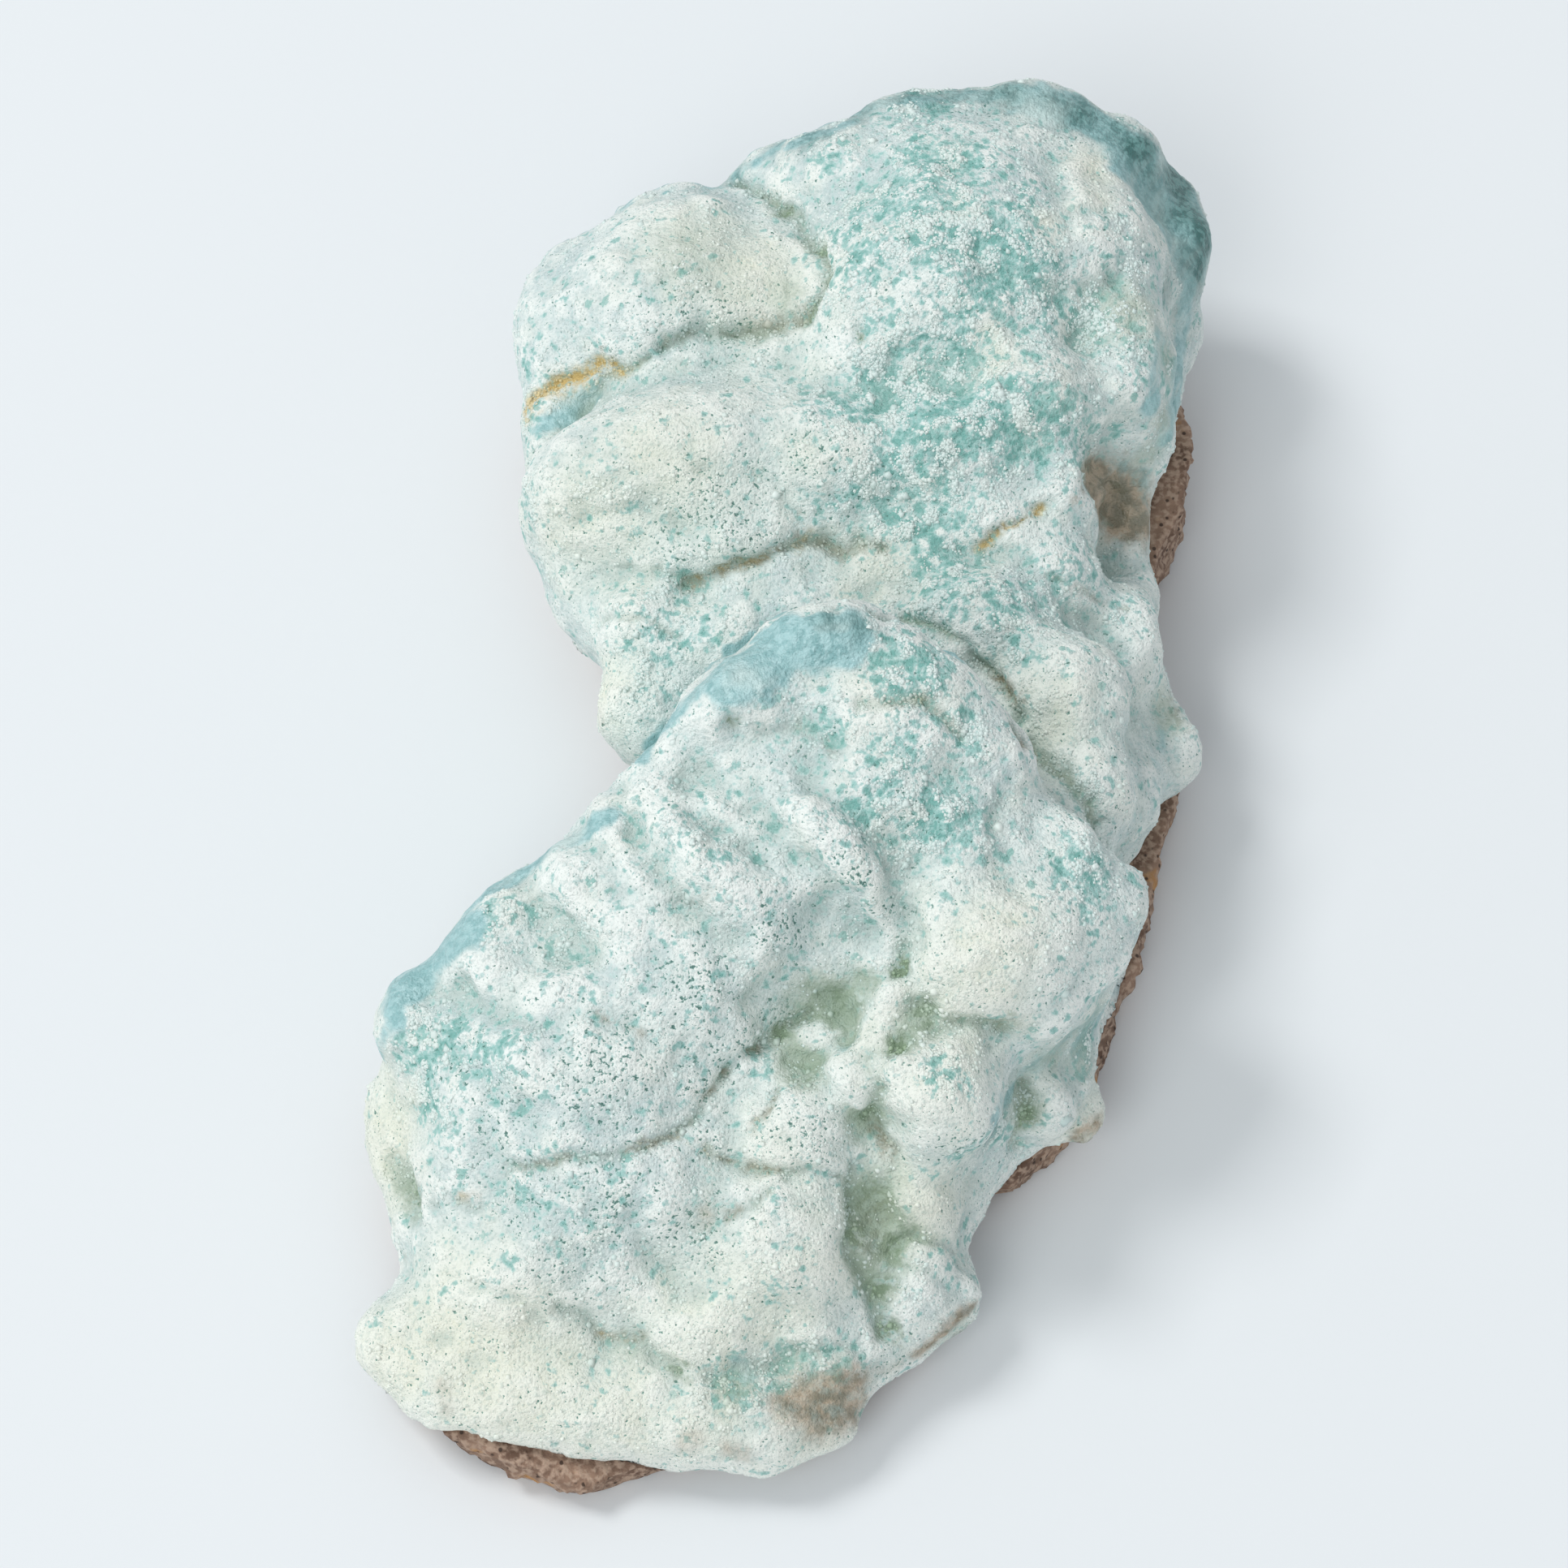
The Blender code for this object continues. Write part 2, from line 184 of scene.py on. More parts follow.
# %% Make two natural patterns
def lot(cells, salt):
    """A fixed number from 0 to 1, drawn as by lot, for each whole-numbered cell."""
    x, y, z = (cells[..., i].astype(np.int64) for i in range(3))
    mixed = (x * 73856093) ^ (y * 19349663) ^ (z * 83492791) ^ (salt * 2654435761)
    mixed = (mixed ^ (mixed >> 13)) * 1274126177
    return ((mixed ^ (mixed >> 16)) & 0xFFFFFF) / float(0x1000000)


# The patterns are made cell by cell. Turned, their cells line up with no side of the stone.
TILT = np.array(Euler((0.5, 0.8, 0.3)).to_matrix())


def clouds(points, size, salt):
    """A soft pattern from -1 to 1, with patches about one size across, in mm."""
    turned = points @ TILT / size
    cell = np.floor(turned)
    part = turned - cell
    part = part * part * (3 - 2 * part)
    total = np.zeros(len(points))
    for corner in np.ndindex(2, 2, 2):
        share = np.prod(np.where(corner, part, 1 - part), axis=1)
        total += share * lot(cell + corner, salt)
    return total * 2 - 1


def crumbs(points, size, salt):
    """Packed grains one size apart: 1 in the middle of a grain, 0 in the gaps, and each grain's lot."""
    turned = points @ TILT / size
    cell = np.floor(turned)
    nearest = np.full(len(points), 9.0)
    second = np.full(len(points), 9.0)
    drawn = np.zeros(len(points))
    for offset in np.ndindex(3, 3, 3):
        other = cell + offset - 1
        middle = other + np.stack([lot(other, salt + axis) for axis in range(3)], axis=1)
        gap = np.linalg.norm(turned - middle, axis=1)
        closer = gap < nearest
        second = np.where(closer, nearest, np.minimum(second, gap))
        drawn = np.where(closer, lot(other, salt + 3), drawn)
        nearest = np.where(closer, gap, nearest)
    return np.clip(second - nearest, 0, 1), drawn


def smooth_step(values, start, end):
    """0 up to start, 1 from end on, and a soft pass between them."""
    part = np.clip((values - start) / (end - start), 0, 1)
    return part * part * (3 - 2 * part)


for name, pattern in {"clouds": clouds(skin, 3.0, 1), "crumbs": crumbs(skin, 3.0, 1)[0]}.items():
    print(name, "of 3 mm go from", round(pattern.min(), 2), "to", round(pattern.max(), 2))

# %% Measure how near the skin is to a mark
WANDER = 0.8  # mm
wandering = skin + WANDER * np.stack([clouds(skin, 3.0, salt) for salt in (11, 12, 13)], axis=1)
wandering += 0.4 * WANDER * np.stack([clouds(skin, 1.1, salt) for salt in (14, 15, 16)], axis=1)


def nearness(pixels, width, sharpness=1):
    """1 on a line marked on the photograph, and fading to 0 past a width (mm) of it, softly or sharply."""
    marks = on_skin(pixels)
    near = np.zeros(len(skin))
    if len(marks) == 0:
        return near
    reach = 2.4 * width + WANDER
    close = np.all((skin > marks.min(0) - reach) & (skin < marks.max(0) + reach), axis=1)
    close = np.nonzero(close)[0]
    gaps = np.full(len(close), 1e9)
    for mark in marks:
        gaps = np.minimum(gaps, np.sum((wandering[close] - mark) ** 2, axis=1))
    near[close] = np.exp(-(gaps / width ** 2) ** sharpness)
    return near


def painted(patches):
    """A mask from patches (x, y, radius in mm, strength), each marked on the photograph."""
    mask = np.zeros(len(skin))
    for x, y, radius, strength in patches:
        mask = np.maximum(mask, strength * nearness([(x, y)], radius))
    return mask


print("points wander up to", round(np.abs(wandering - skin).max(), 2), "mm")

# %% [markdown]
# ## Furrows, small lobes and dents
# Where two lobes met while growing, a furrow stayed between them. The solid has the lobes, but it is too
# coarse for the narrow bottoms of the furrows. Each one is a line on the photograph with a width and
# a depth, and the skin sinks along it. Small lobes rise and dents sink in the same way round a short
# spine. A height map painted by eye would do too, but marks on the photograph keep each one in place.

# %% Mark the furrows
FURROWS = [  # width mm, depth mm, then the line in photograph pixels
    (0.9, 1.5, [(905, 222), (948, 240), (966, 258), (988, 280), (1003, 308), (1014, 335), (1012, 362),
                (996, 390), (955, 402), (905, 408), (860, 416), (815, 430)]),
    (0.8, 1.0, [(795, 442), (765, 458), (735, 480), (700, 512), (664, 545), (648, 562)]),
    (0.7, 0.8, [(645, 500), (680, 472), (712, 456), (765, 452)]),
    (0.9, 1.3, [(850, 716), (872, 712), (900, 703), (935, 690), (965, 680), (985, 672), (1012, 673),
                (1040, 683), (1066, 670), (1092, 676)]),
    (0.7, 0.6, [(770, 704), (815, 703), (850, 716)]),
    (0.8, 0.7, [(735, 767), (765, 758), (800, 765), (842, 792), (868, 803)]),
    (0.9, 0.5, [(865, 576), (905, 582), (945, 592), (968, 610), (980, 640), (984, 668)]),
    (0.7, 0.9, [(1200, 672), (1225, 660), (1250, 645), (1275, 626), (1300, 612)]),
    (1.6, 0.8, [(1180, 672), (1230, 682), (1270, 702), (1302, 726), (1330, 760), (1382, 800)]),
    (0.6, 0.5, [(1290, 702), (1335, 726), (1365, 737), (1386, 748)]),
    (1.0, 1.4, [(1080, 750), (1112, 759), (1150, 776), (1182, 792), (1205, 817), (1228, 843), (1246, 872),
                (1258, 898), (1278, 926), (1310, 950), (1342, 986), (1362, 1012)]),
    (0.9, 0.9, [(1060, 872), (1092, 859), (1130, 863), (1162, 882), (1186, 906)]),
    (1.2, 0.6, [(900, 905), (935, 905), (968, 892), (1000, 905), (1030, 925)]),
    (1.9, 1.2, [(990, 955), (1024, 985), (1060, 1005), (1100, 1045), (1112, 1090), (1112, 1130)]),
    (1.9, 1.2, [(925, 985), (960, 1020), (995, 1062), (1030, 1105), (1070, 1150)]),
    (1.8, 1.1, [(860, 1000), (900, 1022), (935, 1060)]),
    (1.6, 0.9, [(845, 960), (905, 970), (960, 965)]),
    (2.1, 1.4, [(756, 966), (780, 1015), (812, 1065), (850, 1120), (905, 1160)]),
    (2.1, 1.4, [(630, 1080), (668, 1122), (700, 1150), (712, 1170)]),
    (2.0, 1.3, [(525, 1215), (565, 1222), (610, 1250), (660, 1262)]),
    (0.8, 1.3, [(895, 1322), (915, 1305), (936, 1290), (960, 1276), (976, 1262), (990, 1248)]),
    (0.7, 0.8, [(620, 1447), (665, 1440), (702, 1431), (745, 1430), (778, 1412), (802, 1405), (836, 1400),
                (852, 1376), (868, 1345), (895, 1322)]),
    (0.7, 0.8, [(880, 1413), (902, 1430), (958, 1438), (1002, 1436), (1042, 1456)]),
    (0.6, 0.6, [(895, 1500), (930, 1476), (975, 1447)]),
    (0.7, 0.7, [(930, 1388), (952, 1370), (957, 1345)]),
    (0.9, 1.0, [(1108, 1165), (1112, 1195)]),
    (0.8, 1.0, [(1128, 1235), (1150, 1264), (1200, 1266), (1242, 1276)]),
    (0.8, 1.1, [(1112, 1282), (1098, 1305), (1086, 1340), (1074, 1372), (1090, 1402), (1102, 1420)]),
    (0.9, 1.0, [(1266, 1345), (1260, 1380), (1258, 1416)]),
    (1.3, 1.2, [(1050, 1442), (1057, 1500), (1054, 1550), (1078, 1590), (1092, 1640)]),
    (1.0, 0.8, [(690, 1618), (722, 1636), (752, 1660), (792, 1652), (832, 1690)]),
    (1.0, 0.6, [(552, 1570), (600, 1590), (642, 1612), (668, 1640)]),
    (0.8, 0.6, [(532, 1490), (560, 1480), (590, 1492)]),
    (1.2, 0.9, [(880, 1700), (935, 1685), (1000, 1664), (1060, 1660)]),
    (1.0, 0.7, [(1080, 1540), (1120, 1532)]),
    (1.2, 0.8, [(478, 1430), (492, 1468), (508, 1505)]),
    (2.2, 1.0, [(660, 1262), (720, 1246), (785, 1268), (835, 1300)]),
    (1.8, 0.9, [(700, 1010), (738, 1060), (765, 1100)]), (2.0, 0.9, [(560, 1300), (600, 1340), (660, 1380)]),
    (2.2, 0.9, [(1180, 300), (1230, 340), (1300, 360)]), (2.2, 0.8, [(1020, 470), (1100, 450), (1180, 470)]),
    (2.0, 1.0, [(1390, 330), (1350, 360), (1335, 420)]), (2.0, 0.8, [(780, 1500), (800, 1560), (850, 1600)]),
    (2.0, 0.8, [(720, 640), (790, 630), (850, 650)]), (1.8, 0.8, [(1240, 980), (1230, 1040), (1250, 1090)]),
]
furrowed = np.zeros(len(skin))
sunk = np.zeros(len(skin))
for width, depth, line in FURROWS:
    near = nearness(line, width)
    furrowed = np.maximum(furrowed, smooth_step(depth / width, 0.5, 1.4) * near ** 3)
    sunk = np.maximum(sunk, depth * near)
print("furrows:", len(FURROWS), "deepest", round(sunk.max(), 2), "mm")

# %% Mark the small lobes and the dents
SMALL_LOBES = [  # radius mm, height mm (below nothing: a dent), then the spine in photograph pixels
    (2.2, 1.5, [(1102, 1234)]), (2.8, 1.8, [(1044, 1320)]), (2.3, 1.5, [(1078, 1274)]),
    (2.4, 1.6, [(1010, 1274)]),
    (1.7, 1.0, [(1060, 1230)]), (1.6, 0.9, [(1096, 1312)]), (1.8, 0.8, [(1066, 1345)]),
    (5.6, 0.9, [(1150, 1330), (1175, 1365)]), (2.6, 1.0, [(940, 1392), (985, 1402), (1035, 1432)]),
    (2.2, 0.8, [(975, 1362), (1020, 1378)]), (2.6, 0.7, [(872, 1378), (884, 1395)]),
    (6.4, 0.8, [(925, 1520), (985, 1560)]), (3.2, 0.9, [(1135, 1478), (1170, 1500)]),
    (1.3, 1.0, [(1118, 1546), (1160, 1562), (1200, 1592)]), (3.4, 0.8, [(1125, 1600), (1150, 1625)]),
    (2.4, 1.0, [(1305, 1350), (1300, 1385)]), (1.8, -1.0, [(1082, 1470), (1078, 1500)]),
    (3.4, -1.3, [(1388, 1232), (1350, 1276), (1316, 1312)]),
    (1.7, 0.8, [(1380, 1186), (1338, 1222), (1296, 1264)]),
    (2.2, -0.9, [(1020, 1236), (1050, 1222)]), (1.9, -0.8, [(985, 1318)]), (1.2, -0.9, [(1060, 415)]),
    (1.5, 0.9, [(1352, 604)]), (1.2, 0.8, [(1380, 592)]), (1.3, 0.8, [(1396, 622)]), (1.0, 0.6, [(1366, 578)]),
    (3.6, -0.9, [(1370, 615)]), (2.4, -1.0, [(492, 1440), (500, 1475)]), (2.4, -0.8, [(680, 525)]),
    (1.1, -0.9, [(905, 890)]), (1.3, -0.8, [(1380, 335)]), (2.4, -0.6, [(665, 1120), (690, 1150)]),
    (1.9, -0.7, [(775, 1030), (800, 1055)]), (2.6, -0.6, [(815, 1105), (850, 1120)]),
    (2.0, -0.5, [(905, 1205), (925, 1230)]), (2.2, -0.5, [(745, 1000), (770, 1010)]),
    (2.8, 0.7, [(700, 1075)]), (3.0, 0.7, [(760, 1155)]), (2.8, 0.7, [(810, 1025), (840, 1040)]),
    (2.6, 0.6, [(880, 1085), (920, 1075)]), (2.8, 0.6, [(965, 1090)]), (2.8, 0.6, [(1010, 1010)]),
    (3.0, 0.7, [(640, 1290)]), (2.8, 0.6, [(600, 1195)]), (2.6, 0.5, [(690, 1215)]),
    (3.4, 0.6, [(800, 1290)]), (3.2, 0.6, [(650, 1550)]), (3.4, 0.6, [(760, 1590)]),
    (3.0, 0.5, [(830, 1480)]), (2.8, 0.5, [(560, 1400)]), (3.0, 0.5, [(940, 350)]),
    (2.8, 0.5, [(880, 250)]), (2.4, 0.7, [(1350, 285)]), (1.9, 0.8, [(1322, 215), (1335, 245)]),
    (2.2, 0.4, [(1150, 215)]), (2.4, 0.4, [(1220, 200)]), (1.6, 0.4, [(1185, 300)]),
    (2.0, 0.4, [(1290, 330)]), (3.4, -0.5, [(1230, 310)]), (3.0, -0.4, [(1060, 470), (1100, 480)]),
]
raised = np.zeros(len(skin))
for radius, height, spine in SMALL_LOBES:
    raised += height * nearness(spine, radius, sharpness=1.6)
print("small lobes and dents:", len(SMALL_LOBES))

# %% [markdown]
# ## Colour patches
# The frost is not even. Some lobes are white, and on others the blue-green shows through. Iron has stained
# the bottoms of the furrows brown and ochre. A green tint fills the hollows between the lobes and the deepest
# furrows, and it also stands in as painted shade there. Along the back
# edges the crust is broken, and there the aragonite is bare, waxy and smooth. Each of these is a mask of
# numbers on the skin, and the material reads it. Round patches are marked by place, radius and strength,
# and long ones by width, strength and line.

# %% Mark where the frost is thin, pitted, crumpled or creamy
TEAL = [  # thin frost: the blue-green body shows. x and y in pixels, radius mm, strength
    (1150, 260, 13, .8), (1240, 330, 10, .75), (1070, 330, 8, .65), (1180, 430, 11, .7), (1250, 520, 8, .75),
    (1130, 570, 11, .75), (1040, 500, 7, .6), (1330, 560, 5, .6), (1160, 690, 8, .6), (1300, 720, 7, .55),
    (1150, 200, 8, .75), (1250, 250, 8, .7), (1180, 300, 9, .8), (1080, 250, 8, .75), (1030, 190, 4, .7),
    (1180, 520, 6, 1), (1110, 560, 4, .8), (1240, 560, 3, 1), (1130, 640, 4, .9), (1090, 480, 5, .9),
    (1270, 420, 6, .6), (1210, 380, 7, .7), (1350, 430, 4, .6), (1180, 720, 6, .7), (1250, 740, 6, .75),
    (1330, 670, 5, .45), (1370, 750, 4, .55), (1300, 860, 6, .35), (1260, 800, 4, .6), (1130, 830, 6, .85),
    (1190, 900, 4, .9), (1020, 900, 4, .7), (960, 860, 4, .5), (1100, 920, 5, .6), (1160, 1000, 5, .75),
    (1080, 980, 5, .5), (1330, 1080, 5, .7), (1310, 1180, 4, .3), (530, 1290, 6, .65), (540, 1370, 5, .7),
    (620, 1130, 4, .5), (680, 1170, 3, .5), (600, 1310, 5, .45), (870, 1030, 5, .5), (1170, 1320, 4, .5),
    (1190, 1420, 3, .7), (960, 1560, 5, .45), (780, 520, 8, .35), (720, 600, 8, .35), (880, 750, 6, .4),
    (800, 810, 6, .4), (1340, 960, 5, .5), (640, 480, 6, .45), (1440, 440, 5, .5), (650, 620, 5, .4),
    (1150, 110, 6, .7), (1340, 400, 5, .6), (1385, 330, 5, .55), (1395, 430, 5, .5), (880, 300, 7, .3),
    (700, 1480, 7, .4), (1350, 1280, 4, .7), (1230, 1400, 3, .7),
    (900, 1710, 4, .8), (1030, 1680, 4, .5), (960, 1680, 3, .6), (1150, 1560, 4, .4),
]
PITTED = [  # small dark pits close together
    (960, 1150, 4, 1), (860, 1220, 6, .9), (740, 1330, 8, .85), (900, 1290, 4, .8), (750, 1480, 6, .9),
    (850, 1520, 5, .8), (700, 1560, 5, .6), (870, 610, 5, .9), (900, 650, 5, .9), (840, 680, 4, .8),
    (830, 380, 5, .7), (900, 400, 4, .8), (1010, 560, 5, .8), (1080, 600, 5, .6), (1050, 1080, 4, .8),
    (1100, 1130, 2, 1), (1180, 1410, 3, 1), (990, 1400, 4, .8), (870, 1400, 3, .8), (640, 1480, 5, .6),
    (1100, 1680, 3, .6), (1120, 1000, 4, .8), (960, 1250, 3, .8), (930, 590, 3, .8), (760, 420, 5, .5),
    (560, 1300, 6, .6), (620, 1380, 6, .7), (860, 1330, 3, .9), (1320, 1000, 4, .5),
]
CRUMPLED = [  # small sharp lumps below the crest
    (700, 1090, 7, 1), (780, 1040, 7, 1), (850, 1000, 7, 1), (640, 1180, 7, 1), (740, 1150, 6, .9),
    (850, 1080, 7, .9), (920, 1050, 7, .9), (560, 1240, 6, .8), (660, 1260, 7, .8), (960, 1100, 6, .7),
    (1000, 980, 6, .6), (800, 1200, 7, .6), (980, 1420, 5, .8), (890, 1390, 4, .8), (600, 1330, 6, .5),
    (780, 330, 9, .5), (860, 290, 8, .5), (900, 350, 6, .6), (1330, 260, 4, .8), (1340, 330, 4, .6),
    (720, 900, 6, .6), (780, 860, 5, .5), (1090, 1320, 5, .5),
]
CREAM = [  # warmer white
    (560, 1650, 10, .9), (650, 1720, 10, .9), (760, 1740, 8, .8), (850, 1760, 7, .7), (1230, 1160, 6, .8),
    (1170, 1240, 5, .7), (1180, 1300, 5, .6), (1080, 1270, 5, .6), (1000, 1560, 7, .6), (950, 1420, 5, .6),
    (600, 1700, 12, 1), (480, 1680, 8, 1), (700, 1760, 8, .7), (470, 1400, 8, 1), (940, 1600, 9, .7),
    (1200, 1200, 7, .8), (1150, 1350, 5, .6), (820, 560, 9, .7), (720, 640, 8, .8), (930, 340, 7, .9),
    (850, 290, 7, .6), (1340, 210, 3, 1), (1350, 240, 3, .8), (1230, 440, 3, .7), (1080, 700, 5, .7),
    (1290, 880, 7, .6), (740, 860, 5, .9), (1140, 1490, 6, .9), (1120, 1330, 5, .5), (860, 1640, 8, .7),
    (1000, 1780, 7, .6), (1340, 1400, 4, .8), (1290, 270, 2, .6), (1070, 860, 3, .5), (1000, 560, 4, .5),
]
masks = {"teal": painted(TEAL), "pits": painted(PITTED), "cream": painted(CREAM)}
crumpled = painted(CRUMPLED)
print("patches of frost:", len(TEAL) + len(PITTED) + len(CRUMPLED) + len(CREAM))

# %% Mark the green tint of the hollows, which is also painted shade
# Sage: a pale green tint in the hollows, partly real and partly painted shade.
SAGE = [  # thin green shade in the hollows between the lobes
    (1020, 1240, 4.5, 1.2), (1060, 1290, 4.5, 1), (1000, 1300, 4, 1.2), (1110, 1290, 2.8, 1.1),
    (1130, 1250, 2.8, 1), (1050, 1280, 8, .55), (1070, 1370, 3.2, 1.2), (1060, 1210, 3, .8),
    (1080, 1490, 4.6, 1.3), (1110, 1535, 3.4, 1.2), (1070, 1560, 3, 1.1), (1200, 1268, 2, .5),
    (1090, 1600, 2.4, .8), (1250, 1260, 2.6, .5), (1262, 1370, 2.4, .8), (1290, 1310, 3.5, .5),
    (1340, 1300, 3.5, .5), (1180, 1650, 4, .5), (960, 1280, 2.6, .5), (950, 1200, 3, .35), (490, 1460, 4, .5),
    (900, 1720, 5, .4), (1000, 1700, 5, .5), (690, 1660, 4, .2), (780, 1660, 3, .5), (1440, 440, 4, .5),
    (1430, 520, 3.5, .6), (1440, 880, 3, .6), (1400, 930, 2.5, .3), (985, 900, 3, .3), (900, 350, 5, .35),
    (970, 370, 3, .6), (860, 560, 5, .3), (900, 690, 5, .3), (1170, 860, 4, .3), (870, 1500, 4, .4),
    (760, 560, 10, .3), (830, 640, 10, .3), (850, 310, 8, .5), (1390, 380, 6, .6), (1330, 480, 8, .3),
    (1350, 1255, 5, .5), (1300, 1300, 5, .5), (1385, 1215, 4, .5), (1440, 430, 5, .4), (1420, 560, 3, .6),
]
# Green: a deeper green at the bottoms of the deepest hollows, partly real and partly painted shade.
GREEN = [  # deeper green at the bottoms of the deepest ones
    (1020, 1232, 2.4, .7), (1000, 1260, 2.6, .5), (990, 1330, 2.4, .6), (1110, 1190, 1.3, 1.3),
    (965, 1275, 1.2, 1.2), (1105, 1285, 1.5, 1.1), (1072, 1370, 1.6, .8), (1130, 1255, 1.6, .7),
    (1086, 1320, 1.2, .8), (1060, 1240, 1.2, .6), (1080, 1475, 3, .6), (1105, 1535, 2.6, .8),
    (1085, 1585, 1.4, 1.1), (1062, 1520, 2, .8), (1262, 1380, 1.2, 1), (1100, 1640, 2, .8),
    (495, 1470, 2.6, .7), (900, 1715, 3, .5), (840, 1690, 2, .7), (1060, 415, .8, 1.2), (905, 890, 1, .8),
    (960, 255, 1, 1), (1003, 305, .8, 1), (1014, 345, .9, 1), (997, 390, 1.1, 1), (1130, 865, 1, .6),
    (640, 520, 3, .2), (460, 1390, 5, .25), (480, 1440, 5, .25), (1240, 1260, 2, .6), (985, 890, 1, .5),
]
masks["sage"], masks["green"] = painted(SAGE), painted(GREEN)
for name in ("sage", "green"):
    masks[name] *= 1 - 0.7 * smooth_step(raised, 0.3, 1.2)  # the small lobes stand out of the shade
print("green shades:", len(SAGE) + len(GREEN))

# %% Mark the dirt, the iron and the brown calcite
STAINS = [  # brown and olive dirt: width mm, strength, line
    (1.1, .6, [(850, 716), (900, 703), (960, 682)]), (1.0, .5, [(985, 640), (984, 672)]),
    (1.5, .45, [(1000, 674), (1040, 683), (1090, 676)]), (.8, .4, [(1290, 702), (1335, 726), (1386, 748)]),
    (1.5, .8, [(1225, 838), (1250, 862)]), (1.1, .7, [(1258, 900), (1278, 926)]),
    (.7, .65, [(775, 1412), (790, 1400), (802, 1404), (836, 1400)]), (.8, .6, [(862, 1345), (880, 1336)]),
    (.7, .55, [(895, 1322), (936, 1292)]), (.8, .6, [(930, 1388), (952, 1370), (957, 1345)]),
    (.7, .7, [(885, 1420), (902, 1430), (958, 1438)]), (.9, .5, [(895, 1500), (905, 1490)]),
    (1.0, .4, [(565, 1476), (590, 1478)]), (1.1, .5, [(740, 1655), (790, 1650)]),
    (1.2, .6, [(1080, 1392), (1098, 1420)]), (.8, .4, [(700, 1430), (645, 1446)]),
    (1.2, .4, [(1445, 860), (1450, 880)]), (.8, .3, [(560, 1562), (580, 1564)]),
    (.9, .5, [(735, 1243), (757, 1250)]), (.8, .5, [(772, 1258), (790, 1272)]), (1.0, .3, [(750, 1093)]),
    (1.3, .3, [(860, 1110), (885, 1100)]), (.8, .3, [(690, 1125)]), (.8, .4, [(945, 980)]),
    (1.1, .4, [(1095, 862), (1140, 866), (1180, 895)]), (1.0, .4, [(1015, 922), (1030, 928)]),
    (.9, .4, [(735, 430), (755, 445)]), (1.2, .35, [(740, 880), (745, 890)]),
    (1.2, .5, [(925, 392), (965, 400), (985, 390)]), (1.2, .3, [(490, 1560)]), (1.0, .3, [(1010, 1050)]),
    (1.0, .5, [(1210, 664), (1250, 645)]), (.6, .5, [(1205, 1258), (1235, 1270)]),
    (2.4, .3, [(1084, 1480), (1072, 1540)]), (1.2, .5, [(1335, 585), (1330, 615)]), (1.0, .5, [(1385, 560)]),
]
OCHRE = [  # bright yellow iron clay
    (1.0, 1.1, [(640, 506), (680, 474), (712, 457), (740, 453), (762, 455)]),
    (1.3, .45, [(650, 506), (690, 484), (735, 466), (770, 456)]),
    (.6, .8, [(1205, 672), (1250, 648), (1290, 618)]),
    (.8, .4, [(860, 714), (905, 703), (960, 682)]), (.7, .4, [(840, 1402), (880, 1414)]),
    (.8, .4, [(1000, 660), (985, 680)]), (.7, .4, [(745, 1655), (775, 1654)]), (.9, .4, [(572, 1476)]),
]
TAN = [  # smooth brownish calcite: the pocket and the lower rims
    (3.8, 1.3, [(1348, 596), (1372, 604), (1392, 636)]), (1.8, .7, [(1345, 570), (1395, 590)]),
    (1.4, .8, [(1328, 1400), (1345, 1385)]), (3.2, .9, [(975, 1725), (1010, 1735), (1045, 1712)]),
    (2.6, .8, [(1010, 1755), (1050, 1735)]), (1.3, .9, [(1130, 1665), (1165, 1630), (1200, 1615)]),
    (1.6, .5, [(895, 1785), (920, 1790)]), (1.8, .5, [(845, 1780)]), (1.5, .4, [(870, 1500)]),
    (1.2, .4, [(540, 1700), (545, 1735)]), (1.3, .4, [(1080, 1690), (1110, 1680)]),
]
print("lines of dirt:", len(STAINS) + len(OCHRE) + len(TAN))

# %% Mark the broken edges and their deep blue-green places
BARE = [  # broken edges with no frost: width mm, strength, line
    (1.3, .9, [(905, 215), (960, 180), (1000, 158), (1060, 136), (1120, 120), (1200, 116), (1260, 118)]),
    (2.4, 1, [(1250, 120), (1310, 138), (1355, 165), (1390, 200)]),
    (3.8, 1.2, [(1396, 204), (1426, 240), (1455, 285), (1470, 315)]),
    (1.0, .7, [(760, 240), (820, 226), (880, 216)]), (1.0, .5, [(745, 248), (705, 280), (668, 318)]),
    (1.2, 1.1, [(790, 935), (830, 885), (880, 828), (920, 788), (960, 768), (1010, 758), (1060, 770)]),
    (3.6, 1.2, [(900, 838), (940, 806), (985, 792), (1040, 786)]), (1.8, .9, [(1000, 776), (1050, 778)]),
    (1.2, .6, [(700, 1012), (740, 996)]), (1.3, .8, [(640, 1068), (600, 1092), (560, 1128)]),
    (2.6, 1.2, [(580, 1140), (535, 1172), (505, 1200), (486, 1235)]), (1.6, .8, [(480, 1240), (468, 1300)]),
    (1.8, 1, [(740, 1000), (690, 1030), (650, 1062), (600, 1098)]),
    (3.2, 1.2, [(1290, 122), (1350, 150), (1400, 185), (1450, 225), (1482, 270), (1490, 320)]),
    (2.2, .7, [(660, 522), (690, 507), (712, 494)]), (2.6, .9, [(1360, 600), (1395, 620), (1385, 580)]),
    (2.2, .9, [(1462, 360), (1455, 420), (1450, 480), (1440, 540)]), (2, .8, [(1428, 420), (1422, 500)]),
    (2.4, .6, [(1395, 1215), (1350, 1255), (1310, 1290), (1270, 1320)]), (1.6, .6, [(1432, 900), (1425, 960)]),
    (2.8, .7, [(1378, 1236), (1345, 1285)]), (2.0, .5, [(1000, 1240), (1080, 1240), (1040, 1300)]),
    (1.8, .7, [(1225, 1380), (1245, 1350)]), (1.6, .5, [(1080, 1470), (1072, 1530)]),
    (1.6, .6, [(905, 1715), (915, 1690)]), (2.2, .6, [(975, 1735), (1040, 1725)]),
]
